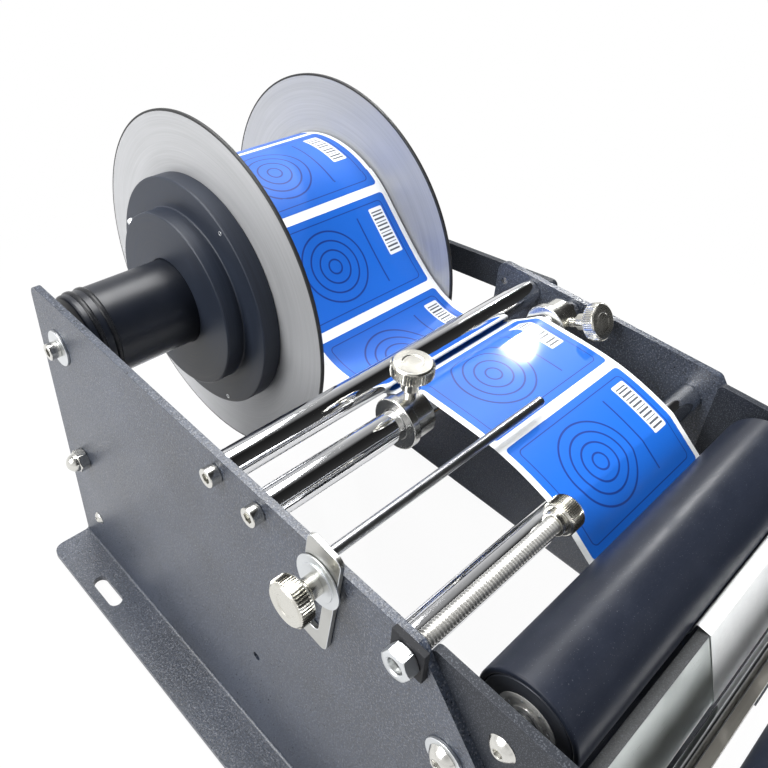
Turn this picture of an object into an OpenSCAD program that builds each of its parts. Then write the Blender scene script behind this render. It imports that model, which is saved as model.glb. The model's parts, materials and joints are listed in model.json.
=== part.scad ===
// Bench-top labelling machine for round bottles, turned by hand with a crank.
// Lengths are millimetres and +Z is up. The rollers lie along X and the label web runs towards -Y.
// Machine points are measured from the left plate's outer face (X), its rear edge (Y) and the bench (Z).
// The finished model is shifted so that its origin is the middle of its footprint, on the bench.

/* [Side plates] */
// Height of the side plates
plate_h = 214; // [190:1:240]
// Thickness of the sheet metal
plate_t = 4; // [3:0.5:5]
// Distance from the plates' top front corner to the rear bottle roller
top_back = 39.5; // [36:0.5:42]
// How far the plates reach forward at the bench, past their top front corner
foot_ahead = 95; // [85:1:110]
// Height at which the slanted front edge turns upright
knee_z = 100; // [70:1:110]
// Rear edge of the right plate at its top, behind it the spindle stands free
right_top = 153.5; // [140:0.5:170]
// Rear edge of the right plate at the bench
right_foot = 65; // [50:1:90]
// Height at which the right plate's rear edge starts to slope
slope_top = 160; // [140:1:175]
// Height at which the right plate's rear edge ends its slope
slope_low = 60; // [40:1:80]
// Radius of the plates' corners
corner_r = 7; // [3:0.5:9]
// Width of the foot flanges
foot_w = 27; // [22:1:40]
// Inner radius of the fold between plate and flange
fold_r = 2; // [1:0.5:3]
// Width of the slots in the flanges
slot_w = 9; // [7:0.5:11]
// End to end length of the slots
slot_l = 28; // [20:1:40]
// Distance from a flange's rear edge to the middle of its rear slot
slot_rear = 57; // [40:1:70]
// Distance from a flange's front edge to the middle of its front slot
slot_front = 61; // [40:1:70]
// Distance from the left plate's rear edge to its spare hole
spare_y = 202; // [150:1:240]
// Height of the spare hole
spare_z = 82; // [60:1:120]
// Diameter of the spare hole
spare_d = 5; // [3:0.5:8]

/* [Guide rods] */
// Diameter of the three guide rods
rod_d = 16; // [14:0.5:17]
// Distance from the right plate's rear edge to the rear rod
rod1_in = 26; // [22:0.5:30]
// Depth of the rear rod below the plates' top edge
rod1_down = 10.5; // [9:0.5:12]
// Distance from the rear rod to the middle rod
rod_step = 31; // [27:0.5:35]
// Depth of the middle rod below the plates' top edge
rod2_down = 10; // [9:0.5:12]
// Distance from the middle rod to the front rod
flat_l = 83.5; // [74:0.5:94]
// Depth of the front rod below the plates' top edge
rod3_down = 22.5; // [20:0.5:25]
// Diameter of the front rod's spigots
spigot_d = 8; // [6:0.5:10]

/* [Label roll and web] */
// Width of the backing paper
web_w = 104; // [60:1:140]
// Free margin on each side of a label
margin_w = 3.5; // [1:0.5:8]
// Outer radius of the label roll
roll_r = 75; // [60:1:85]
// Inner radius of the cardboard core
core_r = 38; // [34:0.5:42]
// Wall of the cardboard core
core_t = 3; // [2:0.5:5]
// Thickness of the backing paper
liner_t = 0.2; // [0.1:0.05:0.3]
// Thickness of a label
label_t = 0.15; // [0.1:0.05:0.3]
// Length of a label
label_l = 65; // [40:1:90]
// Gap between two labels
label_gap = 6; // [3:0.5:12]
// Length of web before the first whole label
label_start = 17.5; // [5:0.5:60]
// Angle round the roll at which the web leaves it
leave_a = 135; // [130:1:140]
// How far the web heads straight off the roll before it sags
sag_rear = 70; // [60:1:80]
// How far the web heads straight up to the middle rod
sag_front = 75; // [65:1:85]
// Gap between the rear rod and the line on which the web rises below it
slack_gap = 1.8; // [1:0.1:2.5]
// Length of loose backing paper below the nip
tail_l = 48; // [30:1:60]

/* [Spindle] */
// Distance from the rear edge to the spindle
spindle_y = 25; // [20:0.5:30]
// Depth of the spindle below the plates' top edge
spindle_down = 31; // [27:0.5:35]
// Diameter of the fixed axle
axle_d = 15; // [12:0.5:17]
// Outer diameter of the spindle tube
tube_d = 55; // [50:0.5:58]
// Height of the shoulder behind each spindle bearing
tube_step = 2; // [1:0.5:3]
// Outer diameter of the spindle bearings
spin_od = 35; // [34:0.5:40]
// Width of the spindle bearings
spin_w = 11; // [8:0.5:14]
// Chamfer at the tube's ends
tube_c = 2; // [1:0.5:3]
// Gap from the tube's ends to the plate and to the arm
tube_gap = 6; // [3:0.5:6]
// Section diameter of the rubber rings on the tube
ring_d = 3.6; // [2:0.2:4]
// Distance from the tube's end to its first rubber ring
ring_at = 5.5; // [5:0.5:7]
// Distance between the two rubber rings
ring_step = 7; // [5:0.5:9]
// Free length of tube beside the left hub, to open it for a new roll
left_free = 70.5; // [60:0.5:90]
// Gap between the roll and each disc
disc_gap = 1.5; // [1:0.1:3]

/* [Hubs and discs] */
// Outer radius of the discs
disc_r = 113.5; // [90:0.5:120]
// Thickness of the discs
disc_t = 2; // [1.5:0.5:3]
// Radius of a hub's large step
hub_big_r = 76; // [70:0.5:80]
// Length of a hub's large step
hub_big_l = 12; // [10:0.5:16]
// Radius of a hub's small step
hub_small_r = 57; // [50:0.5:60]
// Length of the left hub's small step
hub_small_l = 12; // [10:0.5:16]
// Length of the right hub's small step
right_small_l = 8; // [7.5:0.5:12]
// Free space between the right hub and the right plate's inner face
hub_end = 4.5; // [3:0.5:8]
// Length of the boss that carries the core
boss_l = 14; // [8:0.5:20]
// Chamfer of the hub steps
hub_c = 2; // [1:0.5:3]
// Angle of the first disc screw
disc_screw_a = 88; // [80:1:110]
// Distance from a hub's rim to its disc screws
disc_screw_in = 4; // [4:0.5:8]
// Diameter of the hub screws
hub_screw_d = 3; // [3:0.5:5]
// How far a hub's locking screw stands out
lock_out = 6; // [3:0.5:10]
// Diameter of a hub's locking screw
lock_d = 5; // [4:0.5:6]
// Angle of a hub's locking screw
lock_a = 60; // [20:1:90]

/* [Spindle arm] */
// Height of the flat bar
arm_h = 19; // [18:0.5:24]
// Distance from the rear rod to the arm's second screw
arm_screw_at = 20; // [16:0.5:20]

/* [Bottle rollers] */
// Distance from the front rod to the rear bottle roller
roller_ahead = 51.5; // [46:0.5:58]
// Depth of the bottle rollers' axes below the plates' top edge
roller_down = 22; // [20:0.5:25]
// Outer diameter of the bottle rollers
roller_d = 46; // [42:0.5:48]
// Thickness of the rubber sleeve
sleeve_t = 3; // [2:0.5:4]
// Height of the shoulder behind each roller bearing
roller_step = 2; // [1:0.5:3]
// Gap from a bracket to the roller
roller_gap = 9.5; // [6:0.5:14]
// Diameter of the roller axles
roller_axle_d = 10; // [8:0.5:11]
// Outer diameter of the roller bearings
bear_od = 26; // [25:0.5:30]
// Width of the roller bearings
bear_w = 8; // [6:0.5:10]
// Outer diameter of the spacers beside the bearings
spacer_d = 15; // [13:0.5:17]

/* [Roller brackets] */
// How far the brackets stay below the plates' top edge
bracket_drop = 2; // [1:0.5:4]
// Length of bracket in front of the front roller's axis
nose_l = 25.5; // [25:0.5:35]
// Height of the brackets' front edge
nose_h = 40; // [34:1:50]
// Material below the drive roller's axis
bracket_low = 20; // [16:0.5:24]
// Distance from the rear roller back to the upper bracket screw
fix1_back = 19.5; // [17:0.5:22]
// Depth of the upper bracket screw below the rear roller's axis
fix1_low = 30; // [27:0.5:33]
// Distance from the upper bracket screw forward to the lower one
fix2_ahead = 26; // [23:0.5:29]
// Depth of the lower bracket screw below the upper one
fix2_low = 30; // [27:0.5:33]

/* [Peel plate and cross bars] */
// Gap between the rear roller and the peel plate's lip
lip_gap = 1.8; // [1.5:0.1:3]
// Length of the lip behind the ridge
lip_l = 5.3; // [4:0.1:8]
// How far the lip falls behind the ridge
lip_drop = 1.5; // [1:0.1:3]
// Depth of the peel plate's front face
face_l = 12.9; // [11:0.1:16]
// Height of the peel plate's front face
face_h = 34; // [30:0.5:38]
// Thickness of the peel plate
peel_t = 2; // [1.5:0.1:3]
// Diameter of the backing paper's guide rod
guide_d = 6; // [4:0.5:7]
// Gap between the peel plate's lower edge and the guide rod
guide_gap = 1.5; // [1:0.1:2.5]
// Length of the collar on the guide rod
stop_l = 6; // [4:0.5:10]
// Diameter of the collar on the guide rod
stop_d = 6.8; // [6.4:0.1:8]
// Distance from the left bracket to that collar
stop_x = 36; // [10:1:80]
// Thickness of the front bar
bar_t = 4.5; // [3:0.5:6]
// Height of the front bar
bar_h = 16; // [12:0.5:20]
// Gap between the guide rod and the front bar
bar_gap = 0.5; // [0.3:0.1:2]
// Gap between the front bar and the front bottle roller
bar_clear = 7.5; // [4:0.5:30]
// Diameter of the cross bars' screws
bar_screw_d = 3; // [2.5:0.5:3]
// Head diameter of the cross bars' screws
bar_screw_head = 6; // [5:0.5:7]
// Head height of the cross bars' screws
bar_screw_h = 2; // [1.5:0.1:2.5]

/* [Drive] */
// Distance from the rear bottle roller forward to the drive roller
drive_ahead = 18.5; // [16:0.5:22]
// Height of the drive roller
drive_z = 110; // [100:0.5:120]
// Diameter of the drive roller
drive_d = 32; // [26:0.5:34]
// Diameter of the pinch roller
pinch_d = 20; // [16:0.5:22]
// Diameter of the drive shaft
shaft_d = 12; // [10:0.5:13]
// Diameter of the pinch roller's axle
pinch_axle_d = 8; // [6:0.5:10]
// Gap from a bracket to the drive and pinch rollers
drive_gap = 12; // [8:0.5:20]
// Wall of the drive bushings
bush_t = 3; // [2:0.5:4]

/* [Crank] */
// Distance from shaft to grip
crank_r = 80; // [70:1:90]
// Gap between the right plate and the crank arm
crank_gap = 8; // [7:0.5:14]
// Thickness of the crank arm
crank_t = 8; // [6:0.5:10]
// Width of the crank arm
crank_w = 22; // [20:0.5:28]
// Diameter of the grip
grip_d = 24; // [20:0.5:30]
// Length of the grip
grip_l = 70; // [55:1:90]
// Diameter of the grip's bolt
bolt_d = 8; // [6:0.5:10]

/* [Guides and pointer] */
// Length of a guide collar
collar_l = 17; // [16:0.5:22]
// Diameter of a guide collar
collar_d = 25; // [22:0.5:26]
// Diameter of a guide collar's flange
flange_d = 28; // [27:0.5:30]
// Length of a guide collar's flange
flange_l = 5; // [3:0.5:6]
// Gap between a guide collar and the web's edge
collar_gap = 2; // [1:0.1:3]
// Distance from a collar's left end to its thumb screw
collar_screw_at = 9.5; // [9:0.5:12]
// Lean of the right collar's thumb screw
lean_a = 60; // [30:1:65]
// Distance from rod axis to the underside of a thumb screw's head
knob_at = 27; // [22:0.5:32]
// Diameter of a thumb screw's head
knob_d = 22; // [18:0.5:24]
// Height of a thumb screw's head
knob_h = 8; // [6:0.5:10]
// Diameter of a thumb screw's neck
neck_d = 10; // [8:0.5:12]
// Length of a thumb screw's neck
neck_l = 8; // [5:0.5:9]
// Diameter of the thumb screws
screw_d = 6; // [5:0.5:6]
// Distance from the middle rod to the pointer's thumb screw
point_ahead = 43.5; // [38:0.5:48]
// Height of the pointer rod above the plates' top edge
point_up = 3.5; // [3.3:0.1:6]
// Diameter of the pointer rod
point_d = 5; // [3:0.5:5]
// How far the pointer rod reaches across the web
point_reach = 38; // [10:1:60]
// Width of the pointer's slide
slide_w = 20; // [18:0.5:26]
// Thickness of the pointer's slide
slide_t = 2.5; // [2:0.5:4]
// Height of the pointer's slide
slide_h = 68; // [67:1:80]
// Travel of the pointer's slide
slide_travel = 31; // [20:1:31]
// Lean of the pointer's slide to the front
slide_lean = 6.5; // [0:0.5:10]
// How far the slide ends above the pointer rod
slide_over = 7.5; // [5:0.5:8]
// Rounding of the slide's corners
slide_r = 4; // [2:0.5:5]
// Play of the thumb screw across the slide's slot
slot_gap = 0.5; // [0.4:0.1:0.8]
// How far the slide's slot runs on past its travel
slot_end = 1.5; // [1:0.5:2]
// Depth of the pointer's thumb screw below the plates' top edge
clamp_down = 12; // [11:0.5:14]
// How far the pointer's thumb screw stands out inside the plate
tip_out = 1.5; // [0.5:0.5:3]
// Diameter of the clamp washer
clamp_d = 26; // [22:0.5:28]
// Thickness of the clamp washer
clamp_t = 1.5; // [1:0.5:2.5]

/* [Edge stop] */
// Gap between the front rod and the knurled nut
edge_clear = 1.4; // [0.5:0.1:2]
// Angle round the front rod at which the threaded stud stands
stud_a = 120; // [115:1:124]
// Diameter of the threaded stud
stud_d = 8; // [6:0.5:8]
// Diameter of the knurled nut
edge_d = 17; // [14:0.5:17]
// Length of the knurled nut
edge_l = 10; // [8:0.5:14]
// Length of the nut's neck
edge_neck = 3.5; // [2:0.5:6]
// Gap between the knurled nut and the web's edge
edge_gap = 0.5; // [0.3:0.1:1]
// Gap between the threaded stud and the roller brackets
bracket_gap = 1.5; // [1:0.5:2]
// Side of the square plate under the stud's nut
pad_w = 17; // [14:0.5:18]
// Thickness of the square plate
pad_t = 3; // [2:0.5:4]

/* [Fasteners] */
// Diameter of the cap screws
cap_d = 6; // [5:0.5:6]
// Head diameter of the cap screws
cap_head = 10; // [9:0.5:11]
// Length of thread in a rod
thread_l = 16; // [10:1:20]
// Diameter of the large washers
fender_d = 22; // [18:0.5:26]
// Thickness of the large washers
fender_t = 1.5; // [1:0.5:2]
// Diameter of the bracket screws
fix_d = 8; // [6:0.5:8]
// Head diameter of the bracket screws
fix_head = 14; // [12:0.5:16]
// Head height of the bracket screws
fix_head_h = 4.5; // [3:0.5:5]
// Washer diameter of the bracket screws
fix_washer = 19; // [17:0.5:20]
// Head diameter of the roller axle screws
pan_head = 12.4; // [11:0.1:14]
// Head height of the roller axle screws
pan_h = 3.6; // [3:0.1:4]
// Diameter of the small screws
small_d = 5; // [4:0.5:5]
// Head diameter of the small screws
small_head = 9; // [8:0.5:10]
// Head height of the small screws
small_h = 2.6; // [2:0.1:3]
// Distance from the rear edge to the rear stud and the screw below it
post_y = 25.5; // [20:0.5:30]
// Height of the rear stud
post_z = 95; // [80:1:110]
// Height of the screw below the rear stud
post_low = 37; // [30:1:50]

/* [Fits] */
// Gap between bodies that move past each other
run_gap = 0.3; // [0.3:0.05:0.5]
// Radial clearance of a running or sliding fit
fit = 0.05; // [0.03:0.01:0.08]
// Radial clearance of a plain screw hole
hole_gap = 0.3; // [0.2:0.05:0.5]

/* [Hidden] */

$fn = 96;
eps = 1;
arc_n = 6;

// Places across the machine, from the left plate's outer face
in_l = plate_t;
web_x = in_l + left_free + hub_small_l + hub_big_l + disc_t + disc_gap;
web_r = web_x + web_w;
in_r = web_r + disc_gap + disc_t + hub_big_l + right_small_l + hub_end;
out_r = in_r + plate_t;
br_l = in_l + plate_t;
br_r = in_r - plate_t;
tube_x = in_l + tube_gap;
tube_end = out_r - tube_gap;
left_disc_x = web_x - disc_gap - disc_t;
right_disc_x = web_r + disc_gap;
left_collar_x = web_x - collar_gap - collar_l;
right_collar_x = web_r + collar_gap;
roller_x = br_l + roller_gap;
roller_l = br_r - br_l - 2 * roller_gap;
drive_x = br_l + drive_gap;
drive_l = br_r - br_l - 2 * drive_gap;
crank_x = out_r + crank_gap;
grip_x = crank_x + crank_t + eps;
bolt_head_h = bolt_d / 2;
bolt_end = grip_x + grip_l + run_gap + bolt_head_h;

// Radii and half sizes
rod_r = rod_d / 2;
tube_r = tube_d / 2;
roller_r = roller_d / 2;
drive_r = drive_d / 2;
pinch_r = pinch_d / 2;
guide_r = guide_d / 2;
boss_r = core_r - run_gap;
core_out = core_r + core_t;
disc_screw_at = hub_big_r - disc_screw_in;
cap_head_h = cap_d;
bush_r = shaft_d / 2 + bush_t;
hex_across = 13 / 8;
nut_h = 6.5;

// Chain of places along the machine, from the right plate's rear edge forward, and heights from the top edge
rod1_y = right_top + rod1_in;
rod2_y = rod1_y + rod_step;
rod3_y = rod2_y + flat_l;
roller_y = rod3_y + roller_ahead;
drive_y = roller_y + drive_ahead;
top_l = roller_y - top_back;
foot_l = top_l + foot_ahead;
spindle_z = plate_h - spindle_down;
rod1_z = plate_h - rod1_down;
rod2_z = plate_h - rod2_down;
rod3_z = plate_h - rod3_down;
roller_z = plate_h - roller_down;
point_y = rod2_y + point_ahead;
point_z = plate_h + point_up;
roller_pitch = roller_d + lip_gap + lip_l + face_l + guide_gap + guide_d + bar_gap + bar_t + bar_clear;

// Places along the machine, each [Y, Z]
spindle = [-spindle_y, spindle_z];
rod1 = [-rod1_y, rod1_z];
rod2 = [-rod2_y, rod2_z];
rod3 = [-rod3_y, rod3_z];
roller1 = [-roller_y, roller_z];
roller2 = [-roller_y - roller_pitch, roller_z];
ridge = [-roller_y - roller_r - lip_gap - lip_l, roller_z];
lip = ridge + [lip_l, -lip_drop];
edge_low = ridge - [face_l, face_h];
guide = edge_low - [guide_gap + guide_r, 0];
bar_y = guide[0] - guide_r - bar_gap;
nip_gap = liner_t + 2 * run_gap;
drive = [-drive_y, drive_z];
pinch = [-drive_y - drive_r - nip_gap - pinch_r, drive_z];
stud = rod3 + (rod_d / 2 + edge_d / 2 + edge_clear) * [cos(stud_a), sin(stud_a)];
fix1 = roller1 + [fix1_back, -fix1_low];
fix2 = fix1 - [fix2_ahead, fix2_low];
post = [-post_y, post_z];
post2 = [-post_y, post_low];
clamp = [-point_y, plate_h - clamp_down];
slide_reach = (point_z - clamp[1]) / cos(slide_lean);
pointer = clamp + slide_reach * [-sin(slide_lean), cos(slide_lean)];
grip = drive - [0, crank_r];

// The arm runs from the rear rod to the spindle
arm_d = spindle - rod1;
arm_u = arm_d / norm(arm_d);
arm_n = [-arm_u[1], arm_u[0]];
arm_screw = rod1 + arm_screw_at * arm_u;
arm_tail = 1.5 * cap_head;

// Middle of the footprint
mid_x = (min(-foot_w, -pad_t - 2 * nut_h) + max(bolt_end, out_r + foot_w)) / 2;
y_front = roller2[0] - max(nose_l, roller_r);
mid_y = (max(0, disc_r - spindle_y) + y_front) / 2;

// Curves: points on an arc, on a cubic and on a straight line, without the first point
function arc(c, r, a, b, n) = [for (i = [1:n]) c + r * [cos(a + (b - a) * i / n), sin(a + (b - a) * i / n)]];
function cubic(p, q, r, s, n) = [for (i = [1:n]) let (t = i / n, u = 1 - t)
    u * u * u * p + 3 * u * u * t * q + 3 * u * t * t * r + t * t * t * s];
function line(p, q, n) = [for (i = [1:n]) p + (q - p) * i / n];
function polar(r, a) = r * [cos(a), sin(a)];
function flip(v) = [for (i = [len(v) - 1:-1:0]) v[i]];
// Angle of a web that leaves circle c, r on its outer side and meets circle d, s on its inner side
function cross_a(c, r, d, s) = (360 + atan2(d[1] - c[1], d[0] - c[0])
    + atan2(r + s, sqrt(pow(norm(d - c), 2) - pow(r + s, 2)))) % 360;
// Outline with each corner rounded by its own radius
function unit(v) = v / norm(v);
function fillet(a, p, b, r) = let (u = unit(a - p), v = unit(b - p), h = acos(u * v) / 2,
    m = p + unit(u + v) * r / sin(h), s = p + u * r / tan(h), e = p + v * r / tan(h),
    a0 = atan2(s[1] - m[1], s[0] - m[0]), a1 = atan2(e[1] - m[1], e[0] - m[0]),
    w = a1 - a0 > 180 ? a1 - a0 - 360 : a1 - a0 < -180 ? a1 - a0 + 360 : a1 - a0)
    r == 0 ? [p] : concat([s], arc(m, r, a0, a0 + w, arc_n));
function rounded(p, r) = let (n = len(p))
    [for (i = [0:n - 1]) each fillet(p[(i + n - 1) % n], p[i], p[(i + 1) % n], r[i])];

// The web's route: roll, slack, middle rod, front rod, under the rear roller, over the ridge, into the nip
half_t = liner_t / 2;
on_roll = roll_r + run_gap + half_t;
on_rod = rod_r + run_gap + half_t;
on_roller = roller_r + run_gap + label_t + half_t;
on_edge = run_gap + half_t;
on_pinch = pinch_r + run_gap + half_t;
rod_d12 = rod1 - rod2;
rise_a = asin((on_rod + rod_r + slack_gap + half_t) / norm(rod_d12)) - atan2(rod_d12[1], rod_d12[0]);
w0 = spindle + polar(on_roll, leave_a);
w1 = rod2 + polar(on_rod, 90 - rise_a);
flat_out = 92;
flat_in = 112;
bow = 37;
w2 = rod2 + polar(on_rod, flat_out);
w3 = rod3 + polar(on_rod, flat_in);
down_a = cross_a(rod3, on_rod, roller1, on_roller);
w4 = rod3 + polar(on_rod, down_a - 90);
w5 = roller1 + polar(on_roller, down_a + 90);
turn_r = (lip_gap - on_edge) / 1.2;
turn_c = roller1 - [on_roller + turn_r, 0];
over_a = 103;
face_a = atan2(-face_h, -face_l) + 360;
nip_a = cross_a(edge_low, on_edge, pinch, on_pinch);
w6 = ridge + polar(on_edge, over_a);
w7 = edge_low + polar(on_edge, face_a - 90);
w8 = pinch + polar(on_pinch, nip_a + 90 - 360);
w9 = pinch + [on_pinch, 0];
before_ridge = concat([spindle + polar(on_roll, leave_a - 17)], arc(spindle, on_roll, leave_a - 17, leave_a, 5),
    cubic(w0, w0 + polar(sag_rear, leave_a + 90), w1 + polar(sag_front, -rise_a), w1, 36),
    arc(rod2, on_rod, 90 - rise_a, flat_out, 8),
    cubic(w2, w2 + polar(bow, flat_out + 90), w3 - polar(bow, flat_in + 90), w3, 14),
    arc(rod3, on_rod, flat_in, down_a - 90, 4), line(w4, w5, 6),
    arc(roller1, on_roller, down_a + 90, 180, 20));
route = concat(before_ridge, arc(turn_c, turn_r, 0, over_a, 8), [w6],
    arc(ridge, on_edge, over_a, face_a - 90, 5), line(ridge + polar(on_edge, face_a - 90), w7, 8),
    arc(edge_low, on_edge, face_a - 90, nip_a - 90, 4), line(edge_low + polar(on_edge, nip_a - 90), w8, 6),
    arc(pinch, on_pinch, nip_a + 90 - 360, 0, 4),
    cubic(w9, w9 - [0, tail_l * 0.4], w9 - [tail_l * 0.1, tail_l * 0.75], w9 - [tail_l * 0.3, tail_l], 8));
last = len(route) - 1;
side = [for (i = [0:last]) let (h = unit(route[min(i + 1, last)] - route[max(i - 1, 0)])) [h[1], -h[0]]];
face_up = [for (i = [0:last]) route[i] + half_t * side[i]];
face_down = [for (i = [0:last]) route[i] - half_t * side[i]];
face_label = [for (i = [0:last]) route[i] + (half_t + label_t) * side[i]];
run = [for (s = 0, i = 1; i <= last + 1; s = i <= last ? s + norm(route[i] - route[i - 1]) : s, i = i + 1) s];
peel_s = run[len(before_ridge) - 1];
label_n = floor((peel_s - label_start + label_gap) / (label_l + label_gap));
function index(s) = min(len([for (v = run) if (v <= s) 1]) - 1, last - 1);
function at(p, s) = let (i = index(s)) p[i] + (p[i + 1] - p[i]) * (s - run[i]) / (run[i + 1] - run[i]);
function stretch(p, a, b) = concat([at(p, a)], [for (i = [0:last]) if (run[i] > a && run[i] < b) p[i]], [at(p, b)]);

// Placing
module placed() translate([-mid_x, -mid_y, 0]) children();
// Local +Z points to +X, and to -X
module along_x(x, p) translate([x, p[0], p[1]]) rotate([0, 90, 0]) children();
module against_x(x, p) translate([x, p[0], p[1]]) rotate([0, -90, 0]) children();
// Outline in Y and Z, thick along X
module sheet(x, t) translate([x, 0, 0]) rotate([90, 0, 90]) linear_extrude(t) children();

// Shapes that repeat
module ring(r, bore, l) difference() {
    cylinder(r = r, h = l);
    translate([0, 0, -eps]) cylinder(r = bore, h = l + 2 * eps);
}
module bored(x, p, r, l) difference() {
    children();
    along_x(x, p) translate([0, 0, -eps]) cylinder(r = r, h = l + 2 * eps);
}
module bevelled(r, l, c) rotate_extrude() polygon([[0, 0], [r - c, 0], [r, c], [r, l - c], [r - c, l], [0, l]]);
module dome(r, h) {
    big = (r * r + h * h) / (2 * h);
    intersection() {
        translate([0, 0, -h]) cylinder(r = r, h = h);
        translate([0, 0, big - h]) sphere(r = big);
    }
}
module hex(across, h) cylinder(r = across / 2 / cos(30), h = h, $fn = 6);
// Screws hang from the underside of their heads, with the shank along +Z
module cap_screw(l) {
    difference() {
        translate([0, 0, -cap_head_h]) cylinder(d = cap_head, h = cap_head_h);
        translate([0, 0, -cap_head_h - eps]) hex(cap_d * 5 / 6, cap_head_h / 2 + eps);
    }
    cylinder(d = cap_d, h = l);
}
module dome_screw(d, head, h, l) {
    dome(head / 2, h);
    cylinder(d = d, h = l);
}
module bearing(bore, outer, w) {
    wall = (outer - bore) / 4;
    dip = w / 12;
    rotate_extrude() polygon([[bore, 0], [bore + wall, 0], [bore + wall, dip], [outer - wall, dip], [outer - wall, 0],
        [outer, 0], [outer, w], [outer - wall, w], [outer - wall, w - dip], [bore + wall, w - dip],
        [bore + wall, w], [bore, w]]);
}
module thumb_screw(tip, head) {
    translate([0, 0, tip]) cylinder(d = screw_d, h = head - tip);
    translate([0, 0, head - neck_l]) cylinder(d = neck_d, h = neck_l);
    translate([0, 0, head]) bevelled(knob_d / 2, knob_h, knob_h / 10);
}

// Folded side plate: an upright sheet whose foot turns outwards, drawn for the left side
module foot(rear) {
    out = fold_r + plate_t;
    top = 2 * out;
    profile = concat([[-foot_w, 0]], [[plate_t - out, 0]], arc([plate_t - out, out], out, -90, 0, arc_n),
        [[plate_t, top], [0, top]], [[0, plate_t + fold_r]],
        arc([-fold_r, plate_t + fold_r], fold_r, 0, -90, arc_n), [[-foot_w, plate_t]]);
    plan = rounded([[-foot_w, -foot_l], [plate_t, -foot_l], [plate_t, -rear], [-foot_w, -rear]],
        [corner_r, 0, 0, corner_r]);
    difference() {
        intersection() {
            translate([0, -rear, 0]) rotate([90, 0, 0]) linear_extrude(foot_l - rear) polygon(profile);
            translate([0, 0, -eps]) linear_extrude(top + 2 * eps) polygon(plan);
        }
        for (y = [-rear - slot_rear, slot_front - foot_l]) translate([slot_x(), y, -eps]) {
            for (s = [-1, 1]) translate([0, s * (slot_l - slot_w) / 2, 0]) cylinder(d = slot_w, h = plate_t + 2 * eps);
            translate([-slot_w / 2, -(slot_l - slot_w) / 2, 0]) cube([slot_w, slot_l - slot_w, plate_t + 2 * eps]);
        }
    }
}
function slot_x() = -fold_r - (foot_w - fold_r) / 2 - slot_w / 4;
function fold_top() = 2 * (fold_r + plate_t);
module hole(p, d) along_x(-foot_w, p) cylinder(d = d, h = out_r + 2 * foot_w);

module left_side_plate() color("#4b4f57") placed() difference() {
    union() {
        foot(0);
        sheet(0, plate_t) polygon(rounded([[0, fold_top()], [0, plate_h], [-top_l, plate_h], [-foot_l, knee_z],
            [-foot_l, fold_top()]], [0, corner_r, corner_r / 2, corner_r, 0]));
    }
    for (p = [rod1, rod2, spindle]) hole(p, cap_d + 2 * hole_gap);
    hole(rod3, spigot_d);
    hole(stud, stud_d);
    hole(post, stud_d);
    hole(post2, small_d);
    hole(clamp, screw_d + 2 * fit);
    hole([-spare_y, spare_z], spare_d);
    for (p = [fix1, fix2]) hole(p, fix_d + 2 * hole_gap);
}

module right_side_plate() color("#4b4f57") placed() difference() {
    union() {
        translate([out_r, 0, 0]) mirror([1, 0, 0]) foot(right_foot);
        sheet(in_r, plate_t) polygon(rounded([[-right_foot, fold_top()], [-right_foot, slope_low],
            [-right_top, slope_top], [-right_top, plate_h], [-top_l, plate_h], [-foot_l, knee_z],
            [-foot_l, fold_top()]], [0, corner_r, corner_r, corner_r, corner_r / 2, corner_r, 0]));
    }
    for (p = [rod1, rod2]) hole(p, cap_d + 2 * hole_gap);
    hole(rod3, spigot_d);
    hole(arm_screw, small_d);
    hole(drive, 2 * bush_r);
    for (p = [fix1, fix2]) hole(p, fix_d + 2 * hole_gap);
}

// Roller bracket: a flat plate on the inner face of a side plate, in front of it
bracket_rear = stud[0] - stud_d / 2 - bracket_gap;
module bracket(x) difference() {
    top = plate_h - bracket_drop;
    low = drive_z - bracket_low;
    sheet(x, plate_t) polygon(rounded([[bracket_rear, fix1[1] - fix_head], [bracket_rear, top], [y_front, top],
        [y_front, top - nose_h], [pinch[0] - bracket_low, low], [-drive_y + bracket_low, low]],
        [corner_r, corner_r / 2, corner_r, corner_r, corner_r, corner_r]));
    for (p = [roller1, roller2]) hole(p, cap_d + 2 * hole_gap);
    for (p = [fix1, fix2]) hole(p, fix_d);
    for (p = [support_c(), bar_c()]) hole(p, bar_screw_d + 2 * hole_gap);
    hole(guide, guide_d);
    hole(drive, 2 * bush_r);
    hole(pinch, pinch_axle_d);
}
module left_roller_bracket() color("#3f434a") placed() bracket(in_l);
module right_roller_bracket() color("#3f434a") placed() bracket(br_r);

module bracket_screws() color("#d4d6d8") placed() for (p = [fix1, fix2]) {
    along_x(-fender_t, p) dome_screw(fix_d, fix_head, fix_head_h, br_l + fender_t);
    against_x(out_r + fender_t, p) dome_screw(fix_d, fix_head, fix_head_h, br_l + fender_t);
}

// Guide rods, tapped at both ends
module tapped_rod(x, p, r, l) difference() {
    along_x(x, p) cylinder(r = r, h = l);
    along_x(x - eps, p) cylinder(d = cap_d, h = thread_l + eps);
    against_x(x + l + eps, p) cylinder(d = cap_d, h = thread_l + eps);
}
module rear_guide_rod() color("#e4e6e8") placed() tapped_rod(in_l, rod1, rod_r, in_r - in_l);
module middle_guide_rod() color("#e4e6e8") placed() tapped_rod(in_l, rod2, rod_r, in_r - in_l);
module front_guide_rod() color("#e4e6e8") placed() {
    along_x(in_l, rod3) cylinder(r = rod_r, h = in_r - in_l);
    along_x(0, rod3) cylinder(d = spigot_d, h = out_r);
}

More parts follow.
